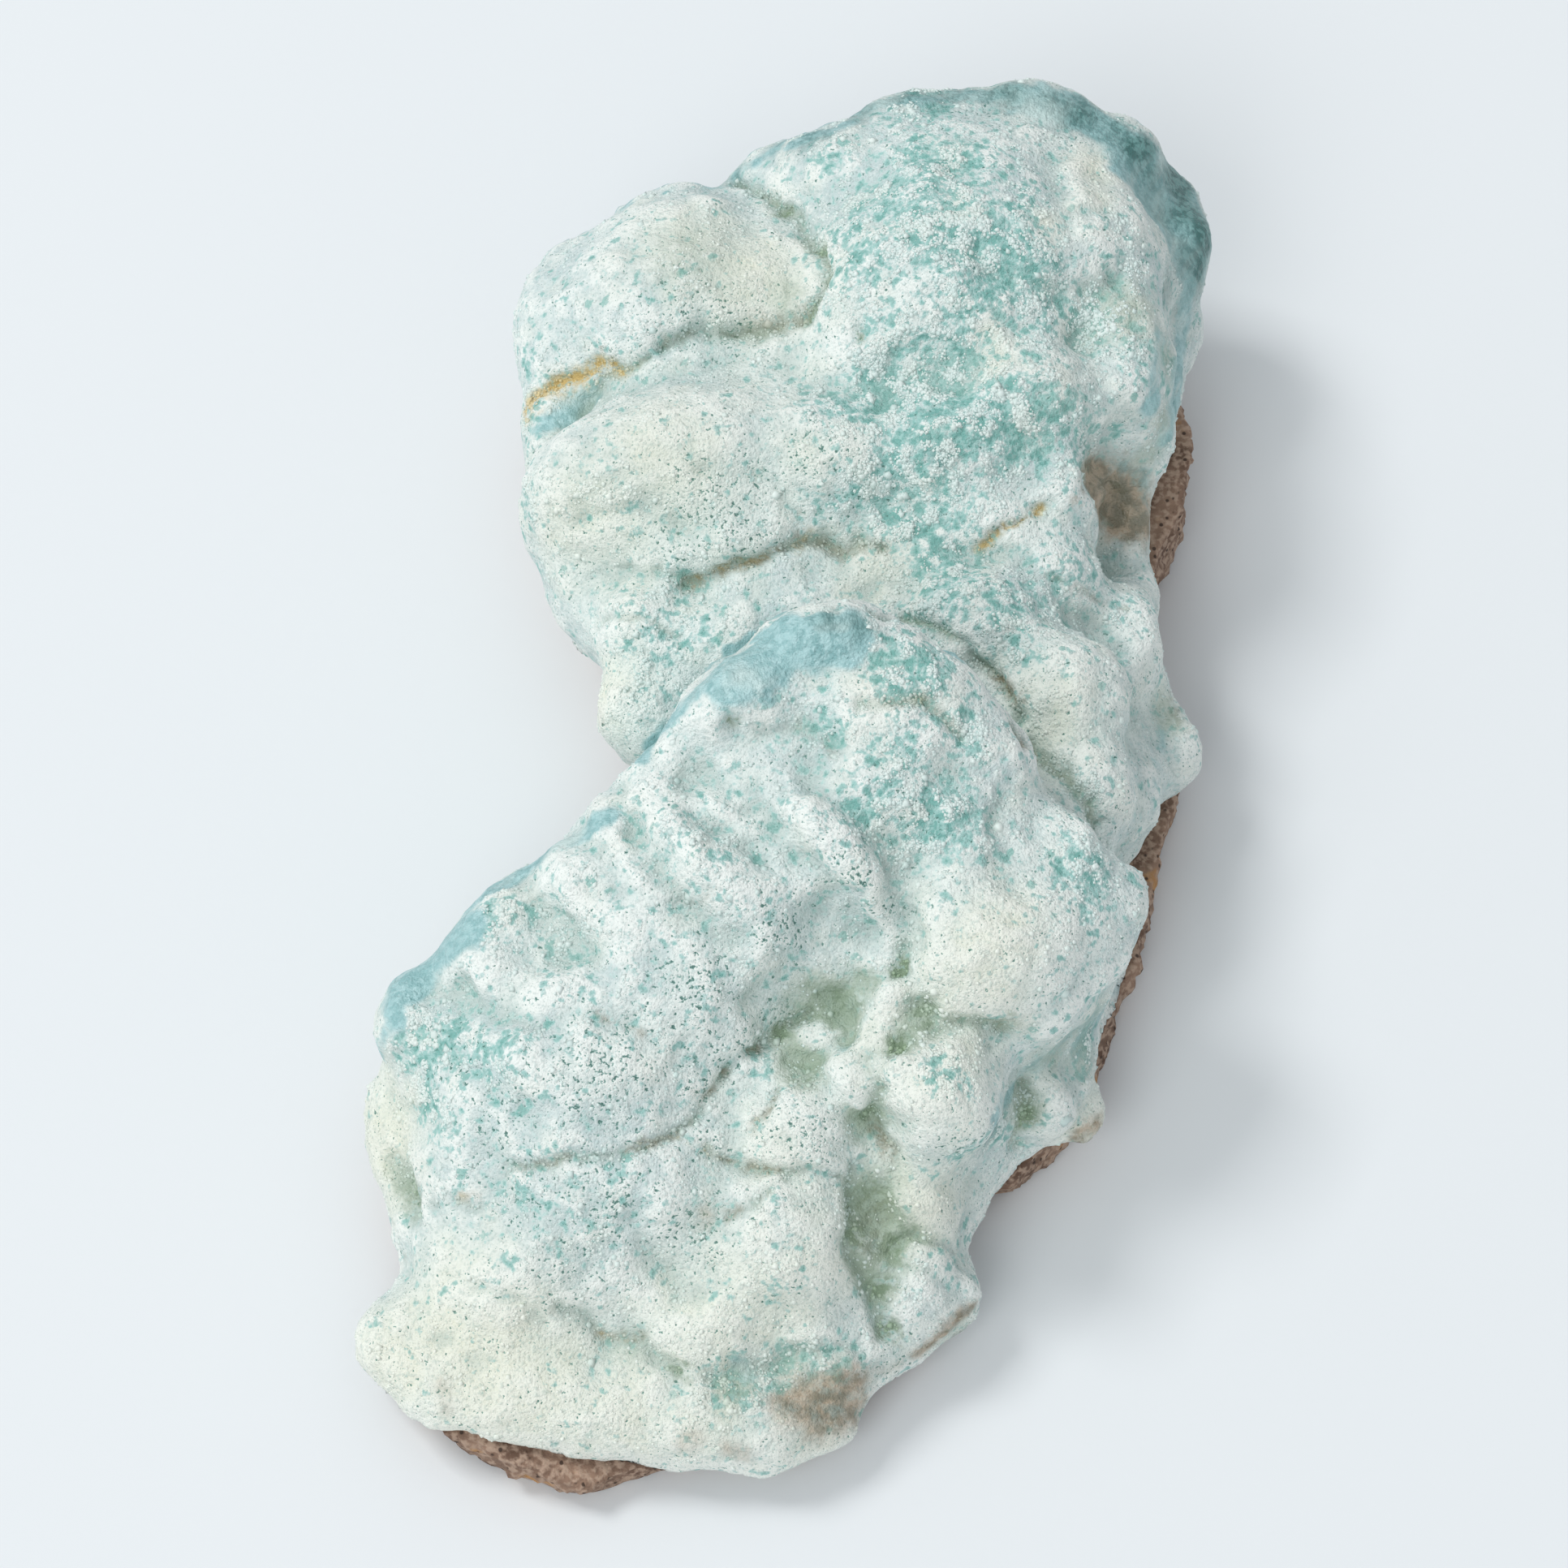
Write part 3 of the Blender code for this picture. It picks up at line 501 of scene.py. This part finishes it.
DEEP = [  # where the body is darkest: x and y in pixels, radius mm, strength
    (960, 170, 2.4, .3), (1060, 130, 3, .45), (1120, 116, 3, .5), (1180, 108, 3, .5), (1240, 112, 3, .6),
    (1330, 140, 3, .7), (1400, 180, 3, .9), (1450, 225, 3.4, 1.1), (1488, 290, 3.4, 1.1), (1480, 330, 3, .9),
    (1472, 262, 3.2, 1), (1482, 300, 2.4, 1), (1415, 178, 2.2, .9), (1380, 155, 2.2, .6),
    (1300, 122, 2, .5), (1448, 224, 2.4, .8), (1020, 760, 1.8, .5), (1060, 772, 1.8, .5),
    (1000, 160, 2.4, .4), (1150, 118, 3, .4), (900, 220, 2.4, .3), (1350, 1290, 2.2, .35),
    (1232, 1392, 2.4, .6), (1160, 560, 1.6, .5), (1420, 215, 3, .55), (1458, 268, 3.4, .7),
    (1466, 322, 3.2, .6), (1372, 172, 2.6, .5), (1320, 150, 2.6, .45), (1440, 360, 3, .35),
]
DEEPEN = 1.35
masks["deep"] = DEEPEN * painted(DEEP)
for name, lines in {"stain": STAINS, "ochre": OCHRE, "tan": TAN, "bare": BARE}.items():
    masks[name] = np.zeros(len(skin))
    for width, strength, line in lines:
        masks[name] = np.maximum(masks[name], strength * nearness(line, width))
print("broken edges:", len(BARE), "deep places:", len(DEEP))

# %% [markdown]
# ## The frost's relief
# Close up, the frost on the blue-green lobes is a lumpy lace: white clumps 1 to 3 mm across stand a little
# proud, and the waxy body shows between them. On the white lobes it has grown together into a nearly smooth
# felt, and below the front crest it is crumpled into lumps of 4 mm. The steep faces at the back are broken:
# they are ribbed, because aragonite grows as fibres, they are chipped, and tongues of frost are left on
# them. A bump map would look the same from the front, but real relief also shows on the outline and casts
# its own small shadows.

# %% Find the broken faces
faces_back = smooth_step(skin_normals[:, 1], 0.5, 0.8) * smooth_step(-skin_normals[:, 2], -0.72, -0.45)
tongues = clouds(wandering, 9.0, 58) + 0.5 * clouds(wandering, 4.0, 60)
faces_back *= 0.35 + 0.65 * smooth_step(tongues, -0.45, 0.05)
marked_edge = smooth_step(masks["bare"] + 0.25 * clouds(wandering, 1.8, 61), 0.35, 0.7)
broken_face = smooth_step(faces_back + 0.15 * clouds(wandering, 1.6, 54), 0.3, 0.75)
masks["bare"] = np.maximum(marked_edge, broken_face)
frosted = 1 - masks["bare"]
print("broken faces:", round(100 * float(masks["bare"].mean())), "% of the skin")

# %% Raise the frost, rib and chip the broken faces
GRAIN_MIDDLE = 0.4  # what crumbs give on average, so that taking it off moves no face as a whole
FREE_OF_BOX = 0.4  # mm that the finest relief may stand out of the solid's box
masks["teal"] = np.clip(masks["teal"] + 0.22 * clouds(skin, 6.0, 62) + 0.1 * clouds(skin, 2.5, 63), 0, 1)
clump, _ = crumbs(wandering, 2.3, 31)
masks["lace"] = 0.6 * clouds(wandering, 1.5, 41) + 0.4 * clouds(wandering, 0.85, 42)
masks["lace"] += 0.5 * (clump - GRAIN_MIDDLE)
lump, _ = crumbs(wandering, 4.2, 57)
swell = 0.4 * clouds(skin, 6.5, 51) + 0.3 * clouds(skin, 3.4, 52) + 0.16 * clouds(skin, 1.6, 53)
swell += frosted * (0.22 + 0.5 * crumpled) * (lump - GRAIN_MIDDLE)
relief = swell + frosted * (0.13 + 0.3 * masks["teal"]) * masks["lace"]
ribs = clouds(skin * (1, 1, 0.15), 1.5, 55) + 0.5 * clouds(skin * (1, 1, 0.3), 0.8, 56)
chip, _ = crumbs(wandering * (1, 1, 0.6), 6.5, 59)
relief += masks["bare"] * (0.12 + 0.25 * faces_back) * ribs + 0.9 * faces_back * (chip - GRAIN_MIDDLE)
relief += raised - sunk
lies_on_rock = np.clip((-skin_normals[:, 2] - 0.6) / 0.3, 0, 1)
relief *= 1 - lies_on_rock
low, high = (np.array(corner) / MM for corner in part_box("aragonite_crust"))
skin = np.clip(skin + skin_normals * relief[:, None], low - FREE_OF_BOX, high + FREE_OF_BOX)
move_vertices(crust.data, skin)
print("relief from", round(relief.min(), 2), "to", round(relief.max(), 2), "mm")

# %% [markdown]
# ## Painted shade in the hollows, painted highlight on the crowns
# The hollows are painted darker as shade and the crowns lighter as highlight. A point is in a hollow when the
# average of the skin round it lies higher than the point itself, so a few rounds of averaging between
# neighbours measure it. Few rounds find the gaps between clumps and many find the basins between lobes, and
# the other way round the crowns. Painting this shade is cheaper than tracing light, and it works from
# every side.

# %% Measure the hollows and hand all masks to the mesh
edges = np.empty(len(crust.data.edges) * 2, np.int32)
crust.data.edges.foreach_get("vertices", edges)
edges = edges.reshape(-1, 2)
ends = np.concatenate([edges, edges[:, ::-1]])
neighbours = np.bincount(ends[:, 0], minlength=len(skin))[:, None]


def averaged(places, rounds):
    """The places after each point has moved to the middle of its neighbours a few times."""
    for _ in range(rounds):
        summed = [np.bincount(ends[:, 0], places[ends[:, 1], axis], len(skin)) for axis in range(3)]
        places = np.stack(summed, axis=1) / neighbours
    return places


skin_normals = of_vertices(crust.data, "normal")
narrow = np.sum((averaged(skin, 12) - skin) * skin_normals, axis=1)
wide = np.sum((averaged(skin, 90) - skin) * skin_normals, axis=1)
# Painted shade: the hollows are painted a darker grey, on the skin and on its grains.
masks["hollow_shade"] = smooth_step(narrow, 0.03, 0.32)
# Painted highlight: the crowns are painted lighter.
masks["crown"] = smooth_step(-narrow, 0.02, 0.22)
# Painted shade: the broad basins between lobes are painted a darker grey-green.
masks["basin"] = smooth_step(wide, 0.1, 1.2)
masks["furrow"] = furrowed
masks["tone"] = np.clip(0.5 + 0.7 * clouds(skin, 3.5, 64) + 0.3 * clouds(skin, 1.5, 65), 0, 1)
masks["cool"] = np.clip(0.5 + 0.8 * clouds(skin, 8.0, 66) + 0.3 * clouds(skin, 2.0, 67), 0, 1)
masks["cream"] = np.clip(masks["cream"] + 0.3 * np.clip(clouds(skin, 2.6, 68), 0, 1), 0, 1)
for name, mask in masks.items():
    layer = crust.data.attributes.new(name, "FLOAT", "POINT")
    layer.data.foreach_set("value", np.clip(mask, -1, 1.5).astype(np.float32))
print("masks:", {name: round(float(mask.mean()), 2) for name, mask in masks.items()})

# %% [markdown]
# ## Frost grains
# Single white grains, most of them a fifth to three quarters of a millimetre wide, sit on the clumps of
# the lace and along the rims of the furrows. Each is one small blunt body, half sunk in the skin and
# turned at random. They stand thick on the blue-green lobes and thin on the white ones, and the bare
# edges are free of them. Joined in a few meshes they cost little and need no particles.

# %% Choose the triangles that get a grain
GRAINS_A_PIECE = 7000
GRAIN_ZONES = ["frost_front", "frost_crest", "frost_saddle", "frost_back"]
chance = np.random.default_rng(5)
crust.data.calc_loop_triangles()
triangles = np.empty(len(crust.data.loop_triangles) * 3, np.int32)
crust.data.loop_triangles.foreach_get("vertices", triangles)
triangles = triangles.reshape(-1, 3)
sides = skin[triangles[:, 1:]] - skin[triangles[:, :1]]
areas = np.linalg.norm(np.cross(sides[:, 0], sides[:, 1]), axis=1) / 2
rims = furrowed * (1 - furrowed) * 4
wanted = (0.12 + smooth_step(masks["teal"], 0.15, 0.8)) * smooth_step(masks["lace"], -0.05, 0.35) + 0.12 * rims
wanted *= frosted ** 2 * smooth_step(skin_normals[:, 2], -0.3, 0.1) * (1 - np.clip(masks["tan"], 0, 1))
weights = areas * wanted[triangles].mean(axis=1)
count = GRAINS_A_PIECE * len(GRAIN_ZONES)
chosen = triangles[chance.choice(len(triangles), size=count, p=weights / weights.sum())]
print("grains:", count, "on", len(triangles), "triangles of skin")

# %% Shape the grains and stand them on the skin
HALF_WIDTH = 0.19  # mm
shares = chance.dirichlet((1, 1, 1), size=count)
roots = np.sum(skin[chosen] * shares[..., None], axis=1)
upward = np.sum(skin_normals[chosen] * shares[..., None], axis=1)
upward += 0.25 * chance.normal(size=(count, 3))
upward /= np.linalg.norm(upward, axis=1, keepdims=True)
across = np.cross(upward, chance.normal(size=(count, 3)))
across /= np.linalg.norm(across, axis=1, keepdims=True)
beside = np.cross(upward, across)
CORNERS = [(1, 0, -0.1), (0, 1, -0.1), (-1, 0, -0.1), (0, -1, -0.1), (0, 0, 0.5), (0, 0, -0.8)]
FACES = np.array([(0, 1, 4), (1, 2, 4), (2, 3, 4), (3, 0, 4), (1, 0, 5), (2, 1, 5), (3, 2, 5), (0, 3, 5)])
half_width = HALF_WIDTH * np.exp(0.4 * chance.normal(size=count))
shape = np.array(CORNERS) * chance.uniform(0.7, 1.3, size=(count, 6, 3)) * half_width[:, None, None]
grains = (roots[:, None] + shape[..., :1] * across[:, None] + shape[..., 1:2] * beside[:, None]
          + shape[..., 2:] * upward[:, None])
print("most grains are from", *np.percentile(2 * half_width, (5, 95)).round(2), "mm wide")

# %% Join the grains in four pieces, from front to back
# The grains carry the masks of their place, with the painted shade of the hollows among them.
CARRIED = ["cream", "cool", "green", "stain", "ochre", "tan", "hollow_shade", "furrow"]
carried = {name: np.sum(masks[name][chosen] * shares, axis=1) for name in CARRIED}
carried["own_tone"] = chance.uniform(0, 1, size=count)
from_front = np.argsort(roots[:, 1], kind="stable")
frost_pieces = []
for zone, members in zip(GRAIN_ZONES, np.split(from_front, len(GRAIN_ZONES))):
    mesh = bpy.data.meshes.new(zone)
    places = grains[members].reshape(-1, 3) * MM
    faces = (FACES[None] + 6 * np.arange(len(members))[:, None, None]).reshape(-1, 3)
    mesh.from_pydata(places, [], faces)
    mesh.shade_smooth()
    for name, values in carried.items():
        layer = mesh.attributes.new(name, "FLOAT", "POINT")
        layer.data.foreach_set("value", np.repeat(values[members], 6).astype(np.float32))
    frost_pieces.append(bpy.data.objects.new(zone, mesh))
    bpy.context.scene.collection.objects.link(frost_pieces[-1])
print("grains:", len(frost_pieces), "pieces of", len(faces), "triangles")


# %% [markdown]
# ## The aragonite's finish
# Aragonite is calcium carbonate. Its own body is waxy and lets light a little way in, and trace copper
# makes it blue-green. The druse on it is the same stone as needles too small to see, so it scatters all
# light and looks like white frost. The finish mixes the two with the masks, and adds what is finer than
# the mesh: grit, a web of thin frost with meshes of 1.6 mm, round windows about a millimetre across
# where the body shows, and small pits. The needles of the frost are a hundredth of a millimetre wide,
# too fine to show, so the grit is drawn at half a millimetre. A painted texture could show the same, but
# patterns sized in mm stay sharp from near and need no file.

# %% Add a node, and turn a colour's hex value to linear
def linear(hex_colour):
    """An sRGB hex colour as the linear red, green, blue and alpha that a shader reads."""
    parts = [int(hex_colour[i:i + 2], 16) / 255 for i in (1, 3, 5)]
    return [c / 12.92 if c <= 0.04045 else ((c + 0.055) / 1.055) ** 2.4 for c in parts] + [1]


def node(tree, kind, inputs=None, **settings):
    """Adds a shader node; an input is a value, a colour's hex text, or another node's output."""
    made = tree.nodes.new("ShaderNode" + kind)
    for name, value in settings.items():
        setattr(made, name, value)
    for name, value in (inputs or {}).items():
        if isinstance(value, bpy.types.NodeSocket):
            tree.links.new(value, made.inputs[name])
        else:
            made.inputs[name].default_value = linear(value) if isinstance(value, str) else value
    return made


def new_material(name):
    material = bpy.data.materials.new(name)
    material.use_nodes = True
    material.node_tree.nodes.clear()
    return material, material.node_tree


def mixed(tree, share, first, second, blend="MIX"):
    """One colour over another by a share from 0 to 1."""
    return node(tree, "Mix", {0: share, 6: first, 7: second}, data_type="RGBA", blend_type=blend).outputs[2]


def sums(tree, how, first, second=0.0, third=0.0, clamp=False):
    """Arithmetic on values of the pattern."""
    return node(tree, "Math", {0: first, 1: second, 2: third}, operation=how, use_clamp=clamp).outputs[0]


def ramped(tree, value, start, end, low=0.0, high=1.0):
    """A value that passes smoothly from low to high while the pattern goes from start to end."""
    return node(tree, "MapRange", {0: value, 1: start, 2: end, 3: low, 4: high},
                interpolation_type="SMOOTHSTEP").outputs[0]


print("a middle grey, #808080, is", round(linear("#808080")[0], 3), "to a shader")


# %% Mix the frost with the body that shows through it
def in_mm(tree):
    """The object's own coordinates in millimetres."""
    place = node(tree, "TexCoord").outputs["Object"]
    return node(tree, "VectorMath", {0: place, 1: (1000, 1000, 1000)}, operation="MULTIPLY").outputs[0]


def cloud(tree, where, size, detail=2.0, roughness=0.6):
    """A soft pattern from 0 to 1, with patches about one size across, in mm."""
    return node(tree, "TexNoise", {"Vector": where, "Scale": 1 / size, "Detail": detail,
                                   "Roughness": roughness}).outputs["Fac"]


finish, tree = new_material("frosted_blue_aragonite")
place = in_mm(tree)
mask = {name: node(tree, "Attribute", attribute_name=name).outputs["Fac"] for name in masks}
coarse = cloud(tree, place, 1.1, 3.0)
fine = cloud(tree, place, 0.5)
# Where the lace is thin, the body shows through, pale at first and deep in the middle.
web = sums(tree, "ABSOLUTE", sums(tree, "SUBTRACT", cloud(tree, place, 1.6, 2.0, 0.5), 0.5))
thickness = sums(tree, "MULTIPLY_ADD", mask["lace"], 0.18, coarse)
thickness = sums(tree, "MULTIPLY_ADD", fine, 0.35, thickness)
thickness = sums(tree, "MULTIPLY_ADD", web, -1.6, thickness)
limit = ramped(tree, mask["teal"], 0.05, 0.9, 0.3, 0.625)
depth = sums(tree, "SUBTRACT", limit, thickness)  # how far the frost falls short of hiding the body
# Painted shade: the frost is made thinner in the hollows, so the darker body shows more there.
depth = sums(tree, "MULTIPLY_ADD", mask["hollow_shade"], 0.08, depth)
depth = sums(tree, "MULTIPLY_ADD", mask["cream"], -0.15, depth)
colour = mixed(tree, mask["cool"], "#E3ECE7", "#C6D6D5")
colour = mixed(tree, mask["cream"], colour, "#EAEEE3")
# Painted highlight on the crowns.
colour = mixed(tree, sums(tree, "MULTIPLY", mask["crown"], 0.8), colour, "#F2F6F1")
colour = mixed(tree, ramped(tree, depth, -0.2, -0.4, 0.0, 0.4), colour, "#EBF1EC")
# Painted shade in the hollows.
colour = mixed(tree, sums(tree, "MULTIPLY", mask["hollow_shade"], 0.4), colour, "#B4C6C3")
colour = mixed(tree, ramped(tree, depth, -0.16, -0.04), colour, "#C2DAD6")
colour = mixed(tree, ramped(tree, depth, -0.06, 0.05), colour, "#9DC8C2")
colour = mixed(tree, ramped(tree, depth, 0.08, 0.22), colour, "#78B1A9")
colour = mixed(tree, ramped(tree, fine, 0.48, 0.34, 0.0, 0.4), colour, "#ACC4C0")
print("frost:", len(tree.nodes), "nodes")

# %% Open windows and pits in the frost
# Round windows, in one out of six cells of 2.2 mm, filled flat with the body's colour.
bent = sums(tree, "MULTIPLY", fine, 1.4)
bent = node(tree, "VectorMath", {0: place, 1: bent}, operation="ADD").outputs[0]
cell = node(tree, "TexVoronoi", {"Vector": bent, "Scale": 1 / 2.2})
drawn = node(tree, "SeparateColor", {0: cell.outputs["Color"]}).outputs
radius = sums(tree, "MULTIPLY_ADD", drawn[1], 0.14, 0.15)
window = ramped(tree, sums(tree, "SUBTRACT", radius, cell.outputs["Distance"]), -0.04, 0.06)
window = sums(tree, "MULTIPLY", window, sums(tree, "LESS_THAN", drawn[0], 0.16))
window = sums(tree, "MULTIPLY", window, sums(tree, "SUBTRACT", 1.0, mask["cream"], clamp=True))
colour = mixed(tree, sums(tree, "MULTIPLY", window, 0.8), colour, "#7DB8AF")

# Pits: the real ones are a tenth of a millimetre, and these follow the grit, so that they show.
pit = sums(tree, "SUBTRACT", fine, ramped(tree, mask["pits"], 0.0, 1.0, 0.645, 0.555))
colour = mixed(tree, ramped(tree, pit, 0.0, 0.04, 0.0, 0.8), colour, "#679A91")
colour = mixed(tree, ramped(tree, pit, 0.05, 0.11, 0.0, 0.8), colour, "#3B6A61")

colour = mixed(tree, sums(tree, "MULTIPLY", mask["cream"], 0.55), colour, "#F8F4E6", "MULTIPLY")
print("with windows and pits:", len(tree.nodes), "nodes")

# %% Bare the broken faces
# They are bare and waxy, streaked along the fibres, with paler growth layers across them.
along = node(tree, "VectorMath", {0: place, 1: (1, 1, 0.12)}, operation="MULTIPLY").outputs[0]
fibre = cloud(tree, along, 0.9)
band = mixed(tree, ramped(tree, fibre, 0.38, 0.62), "#86B4B5", "#ADD2D3")
band = mixed(tree, sums(tree, "MULTIPLY", mask["tone"], 0.5), band, "#9CC6C7")
layered = node(tree, "VectorMath", {0: place, 1: (0.2, 0.2, 1)}, operation="MULTIPLY").outputs[0]
layers = cloud(tree, layered, 3.0, 3.0)
band = mixed(tree, ramped(tree, layers, 0.5, 0.68, 0.0, 0.7), band, "#D3E2DD")
colour = mixed(tree, mask["bare"], colour, band)
deep_body = mixed(tree, ramped(tree, fibre, 0.42, 0.58), "#3F706D", "#6A9996")
colour = mixed(tree, mask["deep"], colour, deep_body)
print("with the broken faces:", len(tree.nodes), "nodes")

# %% Lay the painted shade, the dirt and the iron on top
# Painted shade first, in the broad basins between lobes. Dirt holds to the coarse grit and leaves gaps in it.
colour = mixed(tree, sums(tree, "MULTIPLY", mask["basin"], 0.25), colour, "#9AB0A6")
colour = mixed(tree, sums(tree, "MULTIPLY", mask["furrow"], 0.7), colour, "#8B9A80")
calcite = mixed(tree, ramped(tree, cloud(tree, place, 1.8, 3.0), 0.4, 0.62), "#7F7259", "#B29C82")
# Sage and green are a real tint that also stands in as painted shade in the hollows. Tan, stain and ochre are
# the stone's own.
dirt = {"sage": "#9DAF9B", "green": "#788F72", "tan": calcite, "stain": "#7D7050", "ochre": "#CDAE62"}
for name, shade in dirt.items():
    thinnest = 0.75 if name in ("tan", "sage") else 0.35
    share = sums(tree, "MULTIPLY", mask[name], ramped(tree, coarse, 0.38, 0.6, thinnest, 1.0))
    colour = mixed(tree, ramped(tree, share, 0.04, 0.9, 0.0, 0.88), colour, shade)
print("with the dirt:", len(tree.nodes), "nodes")

# %% Put the aragonite's finish together
bump = node(tree, "Bump", {"Height": fine, "Strength": 0.8, "Distance": 0.0005}, invert=True).outputs[0]
shader = node(tree, "BsdfPrincipled", {
    "Base Color": colour, "Roughness": ramped(tree, mask["bare"], 0.0, 1.0, 0.7, 0.38), "Normal": bump,
    "IOR": 1.6, "Subsurface Weight": 0.12, "Subsurface Radius": (1.0, 1.0, 1.0), "Subsurface Scale": 0.001,
})
node(tree, "OutputMaterial", {"Surface": shader.outputs[0]})
crust.data.materials.append(finish)
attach(crust, "root")
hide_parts("aragonite_crust")
print("aragonite finish:", len(tree.nodes), "nodes")


# %% Finish the grains as white druse
def frost_grains():
    """Clear needles too fine to see: white to the eye, and each grain takes the dirt and the painted shade of
    its place.
    """
    material, tree = new_material("white_aragonite_druse")
    names = CARRIED + ["own_tone"]
    mask = {name: node(tree, "Attribute", attribute_name=name).outputs["Fac"] for name in names}
    white = mixed(tree, mask["own_tone"], "#E4EEEA", "#CDE0DC")
    colour = mixed(tree, sums(tree, "MULTIPLY", mask["cream"], 0.8), white, "#EFF0E2")
    # Painted shade on the grains that sit in hollows.
    colour = mixed(tree, sums(tree, "MULTIPLY", mask["hollow_shade"], 0.4), colour, "#AFC8C1")
    colour = mixed(tree, sums(tree, "MULTIPLY", mask["furrow"], 0.4), colour, "#A9B5A2")
    # The green on the grains is partly painted shade, as on the skin.
    for name, shade in {"green": "#8FA883", "tan": "#A39A80", "stain": "#A19676", "ochre": "#DCC384"}.items():
        colour = mixed(tree, ramped(tree, mask[name], 0.05, 0.9, 0.0, 0.8), colour, shade)
    shader = node(tree, "BsdfPrincipled", {"Base Color": colour, "Roughness": 0.6, "IOR": 1.6})
    node(tree, "OutputMaterial", {"Surface": shader.outputs[0]})
    return material


druse = frost_grains()
for piece in frost_pieces:
    piece.data.materials.append(druse)
    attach(piece, "root")
print("druse finish:", len(druse.node_tree.nodes), "nodes on", len(frost_pieces), "pieces")

# %% [markdown]
# ## The matrix rock
# The crust grew on a thin slab of brown, sandy rock. Its sides are broken and rough, and its under side is
# a flat saw cut that it rests on. The slab is remade finely, and only its broken faces get relief. A bump
# map alone would leave its edge on the floor as smooth as a cut.

# %% Roughen the broken faces of the rock
ROCK_CELL = 0.75 * MM
SAW_CUT = 0.35  # mm: what lies lower belongs to the cut
rock = shaped(
    copy_of_node("matrix_rock", "matrix_slab"),
    ("REMESH", {"mode": "VOXEL", "voxel_size": ROCK_CELL, "use_smooth_shade": True}),
    ("SMOOTH", {"factor": 0.5, "iterations": 3}),
)
rock_points = of_vertices(rock.data)
rock_normals = of_vertices(rock.data, "normal")
chunk, _ = crumbs(rock_points, 2.6, 71)
sand, _ = crumbs(rock_points, 1.2, 81)
rough = 0.7 * clouds(rock_points, 4.0, 91)
rough += 0.9 * (chunk - GRAIN_MIDDLE) + 0.4 * (sand - GRAIN_MIDDLE)
level = np.abs(rock_normals[:, 2])
rough *= np.clip((0.9 - level) / 0.5, 0, 1) * np.clip(rock_points[:, 2] / 1.5, 0, 1)
low, high = (np.array(corner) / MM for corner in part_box("matrix_rock"))
rock_points = np.clip(rock_points + rock_normals * rough[:, None], low, high)
rock_points[:, 2] = np.where(rock_points[:, 2] < SAW_CUT, 0, rock_points[:, 2])
move_vertices(rock.data, rock_points)
print("rock:", len(rock.data.polygons), "faces")


# %% Stain the rock
def limonite_rock():
    """Sandy rock bound by iron: a brown ground, pink and pale sand grains, dark specks, ochre patches."""
    material, tree = new_material("limonite_stained_rock")
    place = in_mm(tree)
    patch = cloud(tree, place, 5, 3.0, 0.5)
    fine = cloud(tree, place, 0.8, 4.0, 0.5)
    grain = node(tree, "TexVoronoi", {"Vector": place, "Scale": 1 / 0.8})
    drawn = node(tree, "SeparateColor", {0: grain.outputs["Color"]}).outputs[0]
    colour = mixed(tree, ramped(tree, patch, 0.28, 0.7), "#5E4536", "#9C7F6B")
    colour = mixed(tree, ramped(tree, fine, 0.42, 0.62, 0.0, 0.75), colour, "#BCA28E")
    colour = mixed(tree, ramped(tree, patch, 0.62, 0.72, 0.0, 0.7), colour, "#B8833F")
    speck = sums(tree, "MULTIPLY", ramped(tree, grain.outputs["Distance"], 0.2, 0.4, 1, 0),
                 ramped(tree, drawn, 0.72, 0.76))
    colour = mixed(tree, sums(tree, "MULTIPLY", speck, 0.9), colour, "#3A2A20")
    height = sums(tree, "MULTIPLY_ADD", grain.outputs["Distance"], -0.6, fine)
    bump = node(tree, "Bump", {"Height": height, "Strength": 0.8, "Distance": 0.0004}).outputs[0]
    shader = node(tree, "BsdfPrincipled", {"Base Color": colour, "Roughness": 0.85, "Normal": bump})
    node(tree, "OutputMaterial", {"Surface": shader.outputs[0]})
    return material


rock.data.materials.append(limonite_rock())
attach(rock, "root")
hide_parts("matrix_rock")
print("rock finish:", len(rock.data.materials[0].node_tree.nodes), "nodes")

# %% [markdown]
# ## Floor and light
# The specimen lies on a plain pale floor. A soft panel behind and to the left makes the shapes and the
# soft shadow at the lower right. A wider one in front and to the left, and a pale room all round, open
# the shaded sides.

# %% Lay the floor and hang the lights
FLOOR_HALF = 1.5
ROOM_LIGHT = 0.57
floor_mesh = bpy.data.meshes.new("floor")
corners = [(-1, -1), (1, -1), (1, 1), (-1, 1)]
floor_mesh.from_pydata([(x * FLOOR_HALF, y * FLOOR_HALF, 0) for x, y in corners], [], [(0, 1, 2, 3)])
floor = bpy.data.objects.new("floor", floor_mesh)
bpy.context.scene.collection.objects.link(floor)
floor_material, tree = new_material("pale_paper")
shader = node(tree, "BsdfPrincipled", {"Base Color": "#E7EBED", "Roughness": 0.9, "Specular IOR Level": 0.2})
node(tree, "OutputMaterial", {"Surface": shader.outputs[0]})
floor_mesh.materials.append(floor_material)


def soft_light(name, place, size, watts, colour="#FFFFFF"):
    """A square panel light that faces the middle of the specimen."""
    lamp = bpy.data.lights.new(name, "AREA")
    lamp.size = size
    lamp.energy = watts
    lamp.color = linear(colour)[:3]
    holder = bpy.data.objects.new(name, lamp)
    holder.location = place
    holder.rotation_euler = (LOOK_AT - Vector(place)).to_track_quat("-Z", "Y").to_euler()
    bpy.context.scene.collection.objects.link(holder)


soft_light("key_light", (-1.8, 0.9, 2.7), 1.0, 45)
soft_light("front_light", (-1.4, -2.4, 2.6), 2.0, 45)
world = bpy.data.worlds.new("pale_room")
bpy.context.scene.world = world
world.use_nodes = True
world.node_tree.nodes["Background"].inputs[0].default_value = linear("#F2F6FA")
world.node_tree.nodes["Background"].inputs[1].default_value = ROOM_LIGHT
bpy.context.scene.view_settings.view_transform = "Standard"
print("lights:", len(bpy.data.lights), "panels and a room of", ROOM_LIGHT)
